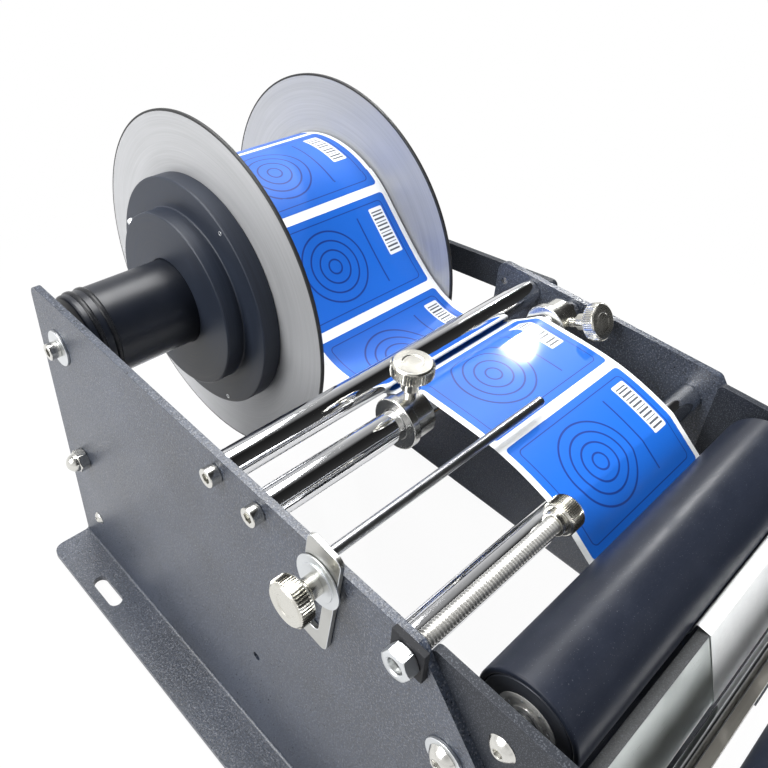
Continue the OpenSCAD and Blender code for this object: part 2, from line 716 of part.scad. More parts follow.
// Cap screws of the rods and of the spindle; the rear rod's right screw also clamps the arm
arm_x = out_r;
arm_out = out_r + plate_t;
module cap_screws() color("#c9ccd0") placed() {
    along_x(-fender_t, spindle) cap_screw(in_l + fender_t + thread_l);
    against_x(arm_out + fender_t, spindle) cap_screw(plate_t + fender_t + thread_l);
    for (p = [rod1, rod2]) along_x(0, p) cap_screw(in_l + thread_l);
    against_x(arm_out, rod1) cap_screw(2 * plate_t + thread_l);
    against_x(out_r, rod2) cap_screw(plate_t + thread_l);
}
module washers() color("#dfe1e3") placed() {
    along_x(-fender_t, spindle) ring(fender_d / 2, cap_d / 2 + hole_gap, fender_t);
    along_x(arm_out, spindle) ring(fender_d / 2, cap_d / 2 + hole_gap, fender_t);
    for (p = [fix1, fix2]) for (x = [-fender_t, out_r])
        along_x(x, p) ring(fix_washer / 2, fix_d / 2 + hole_gap, fender_t);
}

module spindle_axle() color("#c4c7cb") placed() tapped_rod(in_l, spindle, axle_d / 2, out_r - in_l);
module spindle_arm() color("#45494f") placed() difference() {
    h = arm_h / 2;
    tail = rod1 - arm_tail * arm_u;
    head = spindle + (fender_d / 2 + eps) * arm_u;
    sheet(arm_x, plate_t) polygon(rounded([tail + h * arm_n, head + h * arm_n, head - h * arm_n, tail - h * arm_n],
        [corner_r / 2, corner_r, corner_r, corner_r / 2]));
    for (p = [rod1, spindle]) hole(p, cap_d + 2 * hole_gap);
    hole(arm_screw, small_d + 2 * hole_gap);
}

// Bottle rollers turn on fixed axles, with a spacer on each side of the roller
module roller_axles() color("#cfd2d5") placed() for (p = [roller1, roller2]) {
    tapped_rod(br_l, p, roller_axle_d / 2, br_r - br_l);
    for (x = [br_l, roller_x + roller_l + run_gap])
        along_x(x, p) ring(spacer_d / 2, roller_axle_d / 2, roller_gap - run_gap);
}
module axle_screws() color("#d9dadc") placed() for (p = [roller1, roller2]) {
    along_x(in_l, p) dome_screw(cap_d, pan_head, pan_h, plate_t + thread_l);
    against_x(in_r, p) dome_screw(cap_d, pan_head, pan_h, plate_t + thread_l);
}
module roller_core(p) {
    seat = bear_od / 2;
    bore = seat - roller_step;
    along_x(roller_x, p) rotate_extrude() polygon([[seat, 0], [roller_r - sleeve_t, 0], [roller_r - sleeve_t, roller_l],
        [seat, roller_l], [seat, roller_l - bear_w], [bore, roller_l - bear_w], [bore, bear_w], [seat, bear_w]]);
}
module roller_sleeve(p) {
    r = roller_r - sleeve_t;
    c = sleeve_t / 3;
    along_x(roller_x, p) rotate_extrude() polygon([[r, 0], [roller_r - c, 0], [roller_r, c], [roller_r, roller_l - c],
        [roller_r - c, roller_l], [r, roller_l]]);
}
module roller_bearings(p) for (x = [roller_x, roller_x + roller_l - bear_w])
    along_x(x, p) bearing(roller_axle_d / 2 + fit, bear_od / 2, bear_w);
module rear_roller_core() color("#2b2d31") placed() roller_core(roller1);
module rear_roller_sleeve() color("#26282c") placed() roller_sleeve(roller1);
module rear_roller_bearings() color("#d5d7da") placed() roller_bearings(roller1);
module front_roller_core() color("#2b2d31") placed() roller_core(roller2);
module front_roller_sleeve() color("#26282c") placed() roller_sleeve(roller2);
module front_roller_bearings() color("#d5d7da") placed() roller_bearings(roller2);

// Peel plate: a folded sheet with a short lip behind its ridge, on a bar that stiffens it
face_u = unit(edge_low - ridge);
face_n = [-face_u[1], face_u[0]];
lip_u = unit(lip - ridge);
lip_n = [lip_u[1], -lip_u[0]];
fold_in = ridge + peel_t * unit(face_n + lip_n) / sqrt((1 + face_n * lip_n) / 2);
function face_in(z) = fold_in + face_u * (z - fold_in[1]) / face_u[1];
support_top = fold_in[1] - peel_t;
support_low = support_top - bar_h;
support_y = lip[0] - on_edge - lip_gap;
support_z = (support_top + support_low) / 2;
function support_c() = [(support_y + face_in(support_z)[0]) / 2, support_z];
function bar_c() = [bar_y - bar_t / 2, guide[1]];
module peel_plate() color("#b9c2bd") placed() sheet(br_l, br_r - br_l)
    polygon([lip, ridge, edge_low, edge_low + peel_t * face_n, fold_in, lip + peel_t * lip_n]);
module drilled_bar(p) difference() {
    children();
    along_x(br_l - eps, p) cylinder(d = bar_screw_d, h = thread_l + eps);
    against_x(br_r + eps, p) cylinder(d = bar_screw_d, h = thread_l + eps);
}
module peel_support() color("#8f949a") placed() drilled_bar(support_c()) sheet(br_l, br_r - br_l)
    polygon([[support_y, support_top], face_in(support_top), face_in(support_low), [support_y, support_low]]);
module front_bar() color("#33363b") placed() drilled_bar(bar_c()) sheet(br_l, br_r - br_l)
    translate([bar_y - bar_t, guide[1] - bar_h / 2]) square([bar_t, bar_h]);
module liner_rod() color("#e9ebec") placed() {
    along_x(in_l, guide) cylinder(r = guide_r, h = in_r - in_l);
    along_x(br_l + stop_x, guide) cylinder(d = stop_d, h = stop_l);
}

// Small screws: the cross bars' ends, the arm's second fixing and the one at the rear with its nut
module small_screws() color("#cfd1d4") placed() {
    for (p = [support_c(), bar_c()]) {
        along_x(in_l, p) dome_screw(bar_screw_d, bar_screw_head, bar_screw_h, plate_t + thread_l);
        against_x(in_r, p) dome_screw(bar_screw_d, bar_screw_head, bar_screw_h, plate_t + thread_l);
    }
    against_x(arm_out, arm_screw) dome_screw(small_d, small_head, small_h, 2 * plate_t);
    along_x(0, post2) dome_screw(small_d, small_head, small_h, in_l + 1.5 * small_d);
    along_x(in_l, post2) difference() {
        hex(small_d * 1.6, small_d * 0.8);
        translate([0, 0, -eps]) cylinder(d = small_d, h = small_d + 2 * eps);
    }
}

// Rear stud through the left plate, held by a nut inside and a domed nut outside
module nut(d, l) difference() {
    hex(d * hex_across, l);
    translate([0, 0, -eps]) cylinder(d = d, h = l + 2 * eps);
}
module rear_stud() color("#c4c7cb") placed() {
    along_x(-nut_h, post) cylinder(d = stud_d, h = nut_h + in_l + 2 * nut_h);
    along_x(in_l, post) nut(stud_d, nut_h);
}
module acorn_nut() color("#d9dbdd") placed() against_x(0, post) {
    cap = stud_d * hex_across * 0.46;
    nut(stud_d, nut_h);
    translate([0, 0, nut_h]) intersection() {
        cylinder(r = cap, h = 2 * cap);
        sphere(r = cap);
    }
}

// Drive shaft in flanged bushings, rubber sleeve, crank and pinch roller
module drive_bushings() color("#b08d4a") placed() {
    along_x(in_l, drive) ring(bush_r, shaft_d / 2 + fit, plate_t);
    along_x(br_l, drive) ring(bush_r + bush_t, shaft_d / 2 + fit, bush_t);
    along_x(br_r, drive) ring(bush_r, shaft_d / 2 + fit, 2 * plate_t);
    against_x(br_r, drive) ring(bush_r + bush_t, shaft_d / 2 + fit, bush_t);
}
module drive_shaft() color("#c9ccd0") placed() along_x(in_l + run_gap, drive)
    cylinder(d = shaft_d, h = crank_x + crank_t - in_l - run_gap);
module drive_sleeve() color("#2a2b2e") placed() along_x(drive_x, drive) ring(drive_r, shaft_d / 2, drive_l);
module pinch_axle() color("#c9ccd0") placed() along_x(in_l, pinch) cylinder(d = pinch_axle_d, h = in_r - in_l);
module pinch_roller() color("#5a5d62") placed() along_x(br_l + run_gap, pinch)
    ring(pinch_r, pinch_axle_d / 2 + fit, br_r - br_l - 2 * run_gap);
module crank_arm() color("#3a3d43") placed() difference() {
    w = crank_w / 2;
    along_x(crank_x, drive) {
        cylinder(r = w, h = crank_t);
        translate([crank_r, 0, 0]) cylinder(r = w, h = crank_t);
        translate([0, -w, 0]) cube([crank_r, crank_w, crank_t]);
    }
    hole(drive, shaft_d);
    hole(grip, bolt_d);
}
module grip_bolt() color("#cfd2d5") placed() {
    along_x(crank_x, grip) cylinder(d = bolt_d, h = bolt_end - crank_x);
    against_x(bolt_end, grip) bevelled(bolt_d, bolt_head_h, bolt_head_h / 8);
}
module crank_grip() color("#202226") placed() {
    r = grip_d / 2;
    b = bolt_d / 2 + fit;
    along_x(grip_x, grip) rotate_extrude() polygon(concat([[b, 0], [r * 0.7, 0]],
        [for (i = [0:24]) let (t = i / 24) [r * (0.8 + 0.2 * sin(180 * t)), grip_l * (0.03 + 0.94 * t)]],
        [[r * 0.7, grip_l], [b, grip_l]]));
}

// Label web: one strip of backing paper with the labels lying on it
module web_liner() color("#f1f0ea") placed() sheet(web_x, web_w) polygon(concat(face_up, flip(face_down)));
module web_labels() color("#2f6fc4") placed() sheet(web_x + margin_w, web_w - 2 * margin_w)
    for (k = [-1:label_n - 1]) {
        a = max(label_start + k * (label_l + label_gap), eps);
        b = label_start + k * (label_l + label_gap) + label_l;
        if (b > a) polygon(concat(stretch(face_up, a, b), flip(stretch(face_label, a, b))));
    }

// Threaded stud with its knurled stop nut, which runs up to the web's edge
edge_end = web_x - edge_gap;
module edge_stud() color("#c8cbce") placed() along_x(-pad_t - nut_h / 2, stud)
    cylinder(d = stud_d, h = edge_end + pad_t + nut_h / 2);
module stud_nut() color("#d6dadd") placed() against_x(-pad_t, stud) nut(stud_d, nut_h);
module stud_pad() color("#232529") placed() bored(-pad_t, stud, stud_d / 2, pad_t) sheet(-pad_t, pad_t)
    translate(stud - [pad_w, pad_w] / 2) square(pad_w);
module edge_nut() color("#d2d5d8") placed() along_x(edge_end - edge_l - edge_neck, stud) difference() {
    union() {
        cylinder(d = stud_d + edge_neck, h = edge_neck);
        translate([0, 0, edge_neck]) bevelled(edge_d / 2, edge_l, edge_l / 12);
    }
    translate([0, 0, -eps]) cylinder(d = stud_d + 2 * fit, h = edge_l + edge_neck + 2 * eps);
}

// Spindle: a tube on two bearings, with rubber rings near its left end
ring_x = [ring_at, ring_at + ring_step];
ring_c = tube_r - ring_d / 4;
module spindle_tube() color("#26282c") placed() along_x(tube_x, spindle) difference() {
    l = tube_end - tube_x;
    bevelled(tube_r, l, tube_c);
    translate([0, 0, -eps]) cylinder(d = spin_od - 2 * tube_step, h = l + 2 * eps);
    for (z = [-eps, l - spin_w]) translate([0, 0, z]) cylinder(d = spin_od, h = spin_w + eps);
    for (z = ring_x) translate([0, 0, z]) rotate_extrude() translate([ring_c, 0]) circle(d = ring_d);
}
module spindle_rings() color("#17181a") placed() along_x(tube_x, spindle)
    for (z = ring_x) translate([0, 0, z]) rotate_extrude() translate([ring_c, 0]) circle(d = ring_d);
module spindle_bearings() color("#d5d7da") placed() for (x = [tube_x, tube_end - spin_w])
    along_x(x, spindle) bearing(axle_d / 2 + fit, spin_od / 2, spin_w);

// Hub: two steps outside the disc and a boss through it into the core, along +Z from the boss's end
module hub(small_l, bore) {
    z1 = boss_l + disc_t;
    z2 = z1 + hub_big_l;
    z3 = z2 + small_l;
    difference() {
        rotate_extrude() polygon([[bore, 0], [boss_r - hub_c, 0], [boss_r, hub_c], [boss_r, z1], [hub_big_r, z1],
            [hub_big_r, z2 - hub_c], [hub_big_r - hub_c, z2], [hub_small_r, z2], [hub_small_r, z3 - hub_c],
            [hub_small_r - hub_c, z3], [bore, z3]]);
        disc_screw_places() translate([0, 0, boss_l]) cylinder(d = hub_screw_d, h = z3);
        lock_place(small_l) translate([0, 0, -run_gap]) cylinder(d = lock_d, h = hub_big_r);
    }
}
module disc_screw_places() for (k = [0:2]) rotate([0, 0, disc_screw_a + 120 * k])
    translate([disc_screw_at, 0, 0]) children();
module lock_place(small_l) rotate([0, 0, lock_a])
    translate([tube_r, 0, boss_l + disc_t + hub_big_l + small_l / 2]) rotate([0, 90, 0]) children();
module disc() difference() {
    translate([0, 0, boss_l]) ring(disc_r, boss_r, disc_t);
    disc_screw_places() translate([0, 0, boss_l - eps]) cylinder(d = hub_screw_d, h = disc_t + 2 * eps);
}
module hub_screws(small_l) {
    disc_screw_places() translate([0, 0, boss_l]) cylinder(d = hub_screw_d, h = disc_t + hub_big_l);
    lock_place(small_l) translate([0, 0, run_gap]) cylinder(d = lock_d, h = hub_small_r - tube_r + lock_out - run_gap);
}
// The left set faces the left plate, the right set faces the right plate
module left_set() against_x(left_disc_x + disc_t + boss_l, spindle) children();
module right_set() along_x(right_disc_x - boss_l, spindle) children();
module left_hub() color("#2a2c30") placed() left_set() hub(hub_small_l, tube_r + fit);
module left_disc() color("#c3c6c9") placed() left_set() disc();
module left_hub_screws() color("#d8dadc") placed() left_set() hub_screws(hub_small_l);
module right_hub() color("#2a2c30") placed() right_set() hub(right_small_l, tube_r);
module right_disc() color("#c3c6c9") placed() right_set() disc();
module right_hub_screws() color("#d8dadc") placed() right_set() hub_screws(right_small_l);
module roll_core() color("#b08a5c") placed() along_x(web_x, spindle) ring(core_out, core_r, web_w);
module label_roll() color("#2458a6") placed() along_x(web_x, spindle) ring(roll_r, core_out, web_w);

// Guide collars on the middle rod, each with a thumb screw
module collar(x, angle) difference() {
    along_x(x, rod2) union() {
        cylinder(d = flange_d, h = flange_l);
        bevelled(collar_d / 2, collar_l, collar_l / 20);
    }
    along_x(x - eps, rod2) cylinder(r = rod_r + fit, h = collar_l + 2 * eps);
    collar_screw_place(x, angle) cylinder(d = screw_d + 2 * fit, h = collar_d);
}
module collar_screw_place(x, angle) translate([x + collar_screw_at, rod2[0], rod2[1]])
    rotate([angle, 0, 0]) children();
module left_collar() color("#dfe2e4") placed() collar(left_collar_x, 0);
module right_collar() color("#dfe2e4") placed() collar(right_collar_x, lean_a);
module left_collar_screw() color("#d8dadd") placed() collar_screw_place(left_collar_x, 0)
    thumb_screw(rod_r + run_gap, knob_at);
module right_collar_screw() color("#d8dadd") placed() collar_screw_place(right_collar_x, lean_a)
    thumb_screw(rod_r + run_gap, knob_at);

// Pointer: a slotted slide on the left plate's outer face that carries a rod across the web
slide_x = -run_gap - slide_t;
module pointer_slide() color("#d3d4d0") placed() translate([0, clamp[0], clamp[1]]) rotate([slide_lean, 0, 0])
    difference() {
        w = slide_w / 2;
        top = slide_reach + slide_over;
        slot = screw_d / 2 + slot_gap;
        low = -slide_travel - slot_end;
        sheet(slide_x, slide_t) polygon(rounded([[w, top - slide_h], [w, top], [-w, top], [-w, top - slide_h]],
            [slide_r, slide_r, slide_r, slide_r]));
        for (z = [slot_end, low]) hole([0, z], 2 * slot);
        sheet(slide_x - eps, slide_t + 2 * eps) translate([-slot, low]) square([2 * slot, slot_end - low]);
    }
module pointer_rod() color("#c9ccce") placed() along_x(slide_x + slide_t, pointer)
    cylinder(d = point_d, h = web_x + point_reach - slide_x - slide_t);
module pointer_screw() color("#dcdddb") placed() against_x(slide_x - run_gap, clamp) {
    thumb_screw(slide_x - run_gap - in_l - tip_out, clamp_t + neck_l);
    cylinder(d = clamp_d, h = clamp_t);
}

left_side_plate();
right_side_plate();
left_roller_bracket();
right_roller_bracket();
bracket_screws();
rear_guide_rod();
middle_guide_rod();
front_guide_rod();
cap_screws();
washers();
spindle_axle();
spindle_arm();
roller_axles();
axle_screws();
peel_plate();
peel_support();
front_bar();
liner_rod();
small_screws();
drive_bushings();
pinch_axle();
rear_stud();
acorn_nut();
web_liner();
web_labels();
edge_stud();
stud_nut();
stud_pad();
spindle_tube();
spindle_bearings();
spindle_rings();
right_hub();
right_disc();
right_hub_screws();
roll_core();
label_roll();
left_hub();
left_disc();
left_hub_screws();
rear_roller_core();
rear_roller_sleeve();
rear_roller_bearings();
front_roller_core();
front_roller_sleeve();
front_roller_bearings();
drive_shaft();
drive_sleeve();
crank_arm();
grip_bolt();
crank_grip();
pinch_roller();
left_collar();
left_collar_screw();
right_collar();
right_collar_screw();
pointer_slide();
pointer_rod();
pointer_screw();
edge_nut();
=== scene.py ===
"""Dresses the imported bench-top bottle labelling machine.

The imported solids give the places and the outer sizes, and the classes' fields give the
rest. This script adds rounded edges, threads, knurls, screw sockets, printed labels,
backing paper and finishes, and sets up the studio and the camera.
"""
import json
import logging
import math
from dataclasses import dataclass, field
from enum import Enum
from typing import Callable, Optional, Sequence, Union

import bmesh
import bpy
from mathutils import Matrix, Vector

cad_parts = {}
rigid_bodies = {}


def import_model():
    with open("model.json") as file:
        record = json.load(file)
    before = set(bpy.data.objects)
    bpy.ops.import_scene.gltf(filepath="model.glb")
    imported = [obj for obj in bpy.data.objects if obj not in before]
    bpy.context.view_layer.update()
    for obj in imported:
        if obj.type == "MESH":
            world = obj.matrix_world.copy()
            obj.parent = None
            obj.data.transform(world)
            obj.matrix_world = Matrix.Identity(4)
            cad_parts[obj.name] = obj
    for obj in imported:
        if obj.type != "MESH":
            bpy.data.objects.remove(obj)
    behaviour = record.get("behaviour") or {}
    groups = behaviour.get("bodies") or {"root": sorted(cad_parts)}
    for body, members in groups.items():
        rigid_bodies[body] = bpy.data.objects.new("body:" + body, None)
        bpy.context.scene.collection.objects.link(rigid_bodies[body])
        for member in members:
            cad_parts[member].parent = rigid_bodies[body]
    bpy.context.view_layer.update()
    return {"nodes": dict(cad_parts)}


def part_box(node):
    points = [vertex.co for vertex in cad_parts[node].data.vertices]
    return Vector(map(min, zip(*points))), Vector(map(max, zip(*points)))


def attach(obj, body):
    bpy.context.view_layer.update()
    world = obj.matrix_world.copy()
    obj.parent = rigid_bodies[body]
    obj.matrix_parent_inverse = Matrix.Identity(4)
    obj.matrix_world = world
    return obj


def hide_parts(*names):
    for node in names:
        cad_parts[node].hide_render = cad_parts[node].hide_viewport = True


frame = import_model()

LOG = logging.getLogger("labelling_machine")
MM = 0.001
Point = tuple[float, float]
Triple = tuple[float, float, float]
Color = tuple[float, float, float, float]
Shape = bmesh.types.BMesh
Socket = bpy.types.NodeSocket
Material = bpy.types.Material
Object = bpy.types.Object


def srgb(red: float, green: float, blue: float) -> Color:
    """Linear colour of an 8-bit screen colour.

    Args:
        red: Red from 0 to 255.
        green: Green from 0 to 255.
        blue: Blue from 0 to 255.

    Returns:
        The colour, opaque.
    """
    def linear(value: float) -> float:
        """One channel from screen to linear."""
        part = value / 255
        return part / 12.92 if part <= 0.04045 else ((part + 0.055) / 1.055) ** 2.4
    return (linear(red), linear(green), linear(blue), 1.0)


def shade(color: Color, factor: float) -> Color:
    """The colour made lighter or darker by a factor."""
    return (*(min(1.0, part * factor) for part in color[:3]), 1.0)


Operator = Callable[["Signal", "Value"], "Signal"]


def both_ways(operation: str) -> tuple[Operator, Operator]:
    """An operator of Signal and its reflected form.

    Args:
        operation: The Math node's operation.

    Returns:
        The operator with the signal first, and with it last.
    """
    def first(signal: "Signal", other: "Value") -> "Signal":
        """The signal comes first."""
        return signal._math(operation, signal, other)

    def last(signal: "Signal", other: "Value") -> "Signal":
        """The signal comes last."""
        return signal._math(operation, other, signal)
    return first, last


class Signal:
    """A number on its way through a node tree; arithmetic on it adds Math nodes."""

    def __init__(self, graph: "Graph", socket: Socket) -> None:
        """Keeps the tree and the socket that carries the number."""
        self.graph = graph
        self.socket = socket

    def _math(self, operation: str, *values: "Value") -> "Signal":
        """Adds one Math node on the given values."""
        made = self.graph.node("ShaderNodeMath", {"operation": operation}, dict(enumerate(values)))
        return Signal(self.graph, made.outputs[0])

    __add__, __radd__ = both_ways("ADD")
    __sub__, __rsub__ = both_ways("SUBTRACT")
    __mul__, __rmul__ = both_ways("MULTIPLY")
    __truediv__, __rtruediv__ = both_ways("DIVIDE")

    def __abs__(self) -> "Signal":
        """Size without its sign."""
        return self._math("ABSOLUTE", self)

    def least(self, other: "Value") -> "Signal":
        """The smaller of two numbers."""
        return self._math("MINIMUM", self, other)

    def most(self, other: "Value") -> "Signal":
        """The larger of two numbers."""
        return self._math("MAXIMUM", self, other)

    def repeat(self, length: float) -> "Signal":
        """The number wrapped into 0 to length."""
        return self._math("FLOORED_MODULO", self, length)

    def root(self) -> "Signal":
        """Square root."""
        return self._math("SQRT", self)

    def wave(self) -> "Signal":
        """Sine."""
        return self._math("SINE", self)

    def angle(self, other: "Value") -> "Signal":
        """Angle whose tangent is this number over the other."""
        return self._math("ARCTAN2", self, other)

    def between(self, low: float, high: float, start: float = 0.0, end: float = 1.0) -> "Signal":
        """Smooth step from start, at low, to end, at high.

        Args:
            low: Value at which the step begins.
            high: Value at which the step is done.
            start: Result before the step.
            end: Result after the step.

        Returns:
            The stepped number.
        """
        made = self.graph.node("ShaderNodeMapRange", {"interpolation_type": "SMOOTHSTEP"},
                               {0: self, 1: low, 2: high, 3: start, 4: end})
        return Signal(self.graph, made.outputs[0])

    def inside(self, blur: float) -> "Signal":
        """1 where the number is below zero and 0 above it, with a soft step."""
        return self.between(-blur, blur, 1.0, 0.0)


Value = Union[Signal, float, int]


class Graph:
    """A node tree that is written as expressions."""

    def __init__(self, tree: bpy.types.NodeTree) -> None:
        """Keeps the tree."""
        self.tree = tree

    def node(self, kind: str, settings: Optional[dict] = None, sockets: Optional[dict] = None) -> bpy.types.Node:
        """Adds one node.

        Args:
            kind: The node's type.
            settings: Properties of the node, set first.
            sockets: Values or links of its inputs, by name or number.

        Returns:
            The new node.
        """
        made = self.tree.nodes.new(kind)
        for name, value in (settings or {}).items():
            setattr(made, name, value)
        for key, value in (sockets or {}).items():
            if isinstance(value, Signal):
                value = value.socket
            if isinstance(value, Socket):
                self.tree.links.new(value, made.inputs[key])
            else:
                made.inputs[key].default_value = value
        return made

    def vector(self, operation: str, first: object, second: object) -> Socket:
        """Adds one Vector Math node and gives its result."""
        return self.node("ShaderNodeVectorMath", {"operation": operation}, {0: first, 1: second}).outputs[0]

    def joined(self, x: Value, y: Value, z: Value) -> Socket:
        """Vector from three numbers."""
        return self.node("ShaderNodeCombineXYZ", None, {0: x, 1: y, 2: z}).outputs[0]

    def split(self, vector: Socket) -> tuple[Signal, Signal, Signal]:
        """The three numbers of a vector."""
        made = self.node("ShaderNodeSeparateXYZ", None, {0: vector})
        return Signal(self, made.outputs[0]), Signal(self, made.outputs[1]), Signal(self, made.outputs[2])


class ShaderGraph(Graph):
    """One material."""

    def __init__(self, name: str) -> None:
        """Makes an empty material.

        Args:
            name: The material's name.
        """
        self.material = bpy.data.materials.new(name)
        self.material.use_nodes = True
        super().__init__(self.material.node_tree)
        self.tree.nodes.clear()

    def place_mm(self, kind: str = "Object") -> Socket:
        """The point on the piece in millimetres, in the named kind of coordinates."""
        return self.vector("MULTIPLY", self.node("ShaderNodeTexCoord").outputs[kind], (1000, 1000, 1000))

    def uv_mm(self) -> tuple[Signal, Signal]:
        """The piece's own flat coordinates in millimetres, across and along."""
        return self.split(self.place_mm("UV"))[:2]

    def noise(self, vector: Socket, size: Union[float, Triple],
              detail: float = 2.0, rough: float = 0.5) -> Signal:
        """Soft noise.

        Args:
            vector: Where it is read, in millimetres.
            size: Size of its patches in millimetres, one number or one for each axis.
            detail: How many finer layers it has.
            rough: How strong these are.

        Returns:
            A number round 0.5.
        """
        sizes = size if isinstance(size, tuple) else (size, size, size)
        scaled = self.vector("MULTIPLY", vector, tuple(1 / part for part in sizes))
        made = self.node("ShaderNodeTexNoise", None,
                         {"Vector": scaled, "Scale": 1.0, "Detail": detail, "Roughness": rough})
        return Signal(self, made.outputs[0])

    def around(self, center: Point) -> tuple[Signal, Signal, Signal]:
        """Distance along X, radius and angle round an axis along X.

        Args:
            center: The axis's Y and Z in millimetres.

        Returns:
            The three numbers, in millimetres and radians.
        """
        x, y, z = self.split(self.place_mm())
        y, z = y - center[0], z - center[1]
        return x, (y * y + z * z).root(), y.angle(z)

    def blend(self, factor: Value, first: object, second: object) -> Socket:
        """Colour between two colours."""
        return self.node("ShaderNodeMix", {"data_type": "RGBA", "clamp_factor": True},
                         {0: factor, 6: first, 7: second}).outputs[2]

    def bump(self, height: Signal, depth: float, strength: float = 1.0) -> Socket:
        """Normal of a surface that rises by depth millimetres."""
        return self.node("ShaderNodeBump", None, {"Strength": strength, "Distance": depth * MM,
                                                  "Height": height}).outputs[0]

    def surface(self, sockets: dict) -> Material:
        """Ends the material in one principled shader.

        Args:
            sockets: Values or links of its inputs.

        Returns:
            The finished material.
        """
        made = self.node("ShaderNodeBsdfPrincipled", None, sockets)
        self.node("ShaderNodeOutputMaterial", None, {"Surface": made.outputs[0]})
        return self.material


@dataclass(frozen=True)
class PowderCoat:
    """Baked powder paint with a fine grain."""
    name: str = "powder_coat"
    color: Color = srgb(47, 53, 65)
    grain: float = 1.3
    depth: float = 0.24
    roughness: float = 0.36
    speckle: float = 0.6
    gloss: float = 0.6

    def material(self) -> Material:
        """Grain in colour, gloss and relief, with broad slow changes of tone and light specks that are partly painted
        glints.

        Returns:
            The material.
        """
        graph = ShaderGraph(self.name)
        place = graph.place_mm()
        fine = graph.noise(place, self.grain, 3.0, 0.6)
        broad = graph.noise(place, 60.0, 2.0)
        tone = (0.5 + (fine - 0.5) * 1.8 + (broad - 0.5) * 0.6).between(0.0, 1.0)
        base = graph.blend(tone, shade(self.color, 1 - self.speckle), shade(self.color, 1 + self.speckle))
        # light specks: partly the coat's own grain, partly painted glints
        specks = graph.noise(place, self.grain * 0.7, 1.0).between(0.56, 0.66)
        base = graph.blend(specks * self.speckle, base, srgb(112, 116, 124))
        return graph.surface({"Base Color": base, "Roughness": self.roughness + (fine - 0.5) * 0.5,
                              "Normal": graph.bump(fine, self.depth, 0.8), "Specular IOR Level": self.gloss})


@dataclass(frozen=True)
class BrightMetal:
    """Plated or bare metal with fine marks along one direction and faint smudges."""
    name: str = "bright_metal"
    color: Color = srgb(222, 223, 224)
    roughness: float = 0.1
    marks: Triple = (20.0, 0.25, 0.25)
    mark_depth: float = 0.002
    uneven: float = 0.08
    metallic: float = 1.0

    def material(self) -> Material:
        """Marks in gloss and relief over a metal base.

        Returns:
            The material.
        """
        graph = ShaderGraph(self.name)
        place = graph.place_mm()
        marks = graph.noise(place, self.marks, 3.0, 0.6)
        smudge = graph.noise(place, 14.0, 3.0, 0.55).between(0.42, 0.72)
        base = graph.blend(marks, shade(self.color, 0.9), self.color)
        return graph.surface({"Base Color": base, "Metallic": self.metallic,
                              "Roughness": self.roughness + self.uneven * smudge + (marks - 0.5) * self.uneven,
                              "Normal": graph.bump(marks, self.mark_depth)})


@dataclass(frozen=True)
class Turned:
    """A face turned on a lathe: fine rings round an axis along X."""
    name: str = "turned"
    color: Color = srgb(40, 43, 50)
    center: Point = (0.0, 0.0)
    metallic: float = 0.0
    roughness: float = 0.4
    ring: float = 0.5
    depth: float = 0.012
    streak: float = 0.25
    # radius where a painted shade line darkens the outer edge; 0 leaves it out
    rim: float = 0.0
    gloss: float = 0.5

    def material(self) -> Material:
        """Rings that change slowly round the axis, in colour, gloss and relief, with a painted shade line at the rim
        where one is given.

        Returns:
            The material.
        """
        graph = ShaderGraph(self.name)
        x, radius, angle = graph.around(self.center)
        path = graph.joined(radius / self.ring, angle * 1.5, x / self.ring)
        rings = graph.noise(path, 1.0, 2.0, 0.6)
        wide = graph.noise(graph.joined(radius / 14, angle.wave() * 1.2, x / 20), 1.0, 2.0)
        tone = (0.5 + (rings - 0.5) * 1.4 + (wide - 0.5) * 0.8).between(0.0, 1.0)
        base = graph.blend(tone, shade(self.color, 1 - self.streak), shade(self.color, 1 + self.streak))
        # painted shade: a thin dark band at the outer rim stands in for the disc's unlit edge
        if self.rim:
            base = graph.blend(radius.between(self.rim - 1.6, self.rim - 1.2), base, shade(self.color, 0.05))
        return graph.surface({"Base Color": base, "Metallic": self.metallic,
                              "Roughness": self.roughness + (rings - 0.5) * 0.2 + (wide - 0.5) * 0.1,
                              "Specular IOR Level": self.gloss,
                              "Normal": graph.bump(rings, self.depth)})


@dataclass(frozen=True)
class Rubber:
    """Ground or moulded rubber."""
    name: str = "rubber"
    color: Color = srgb(44, 46, 52)
    roughness: float = 0.5
    grain: float = 0.7
    depth: float = 0.02

    def material(self) -> Material:
        """Fine grain with dusty patches.

        Returns:
            The material.
        """
        graph = ShaderGraph(self.name)
        place = graph.place_mm()
        fine = graph.noise(place, (self.grain * 2.5, self.grain, self.grain), 3.0, 0.6)
        dust = graph.noise(place, 22.0, 3.0, 0.6).between(0.45, 0.8)
        base = graph.blend(0.25 + (fine - 0.5) * 0.9 + dust * 0.35, shade(self.color, 0.82), shade(self.color, 1.35))
        specks = graph.noise(place, 0.45, 0.0).between(0.79, 0.83)
        base = graph.blend(specks * 0.15, base, srgb(170, 174, 182))
        return graph.surface({"Base Color": base, "Roughness": self.roughness + dust * 0.12 + (fine - 0.5) * 0.14,
                              "Specular IOR Level": 0.22, "Normal": graph.bump(fine, self.depth, 0.7)})


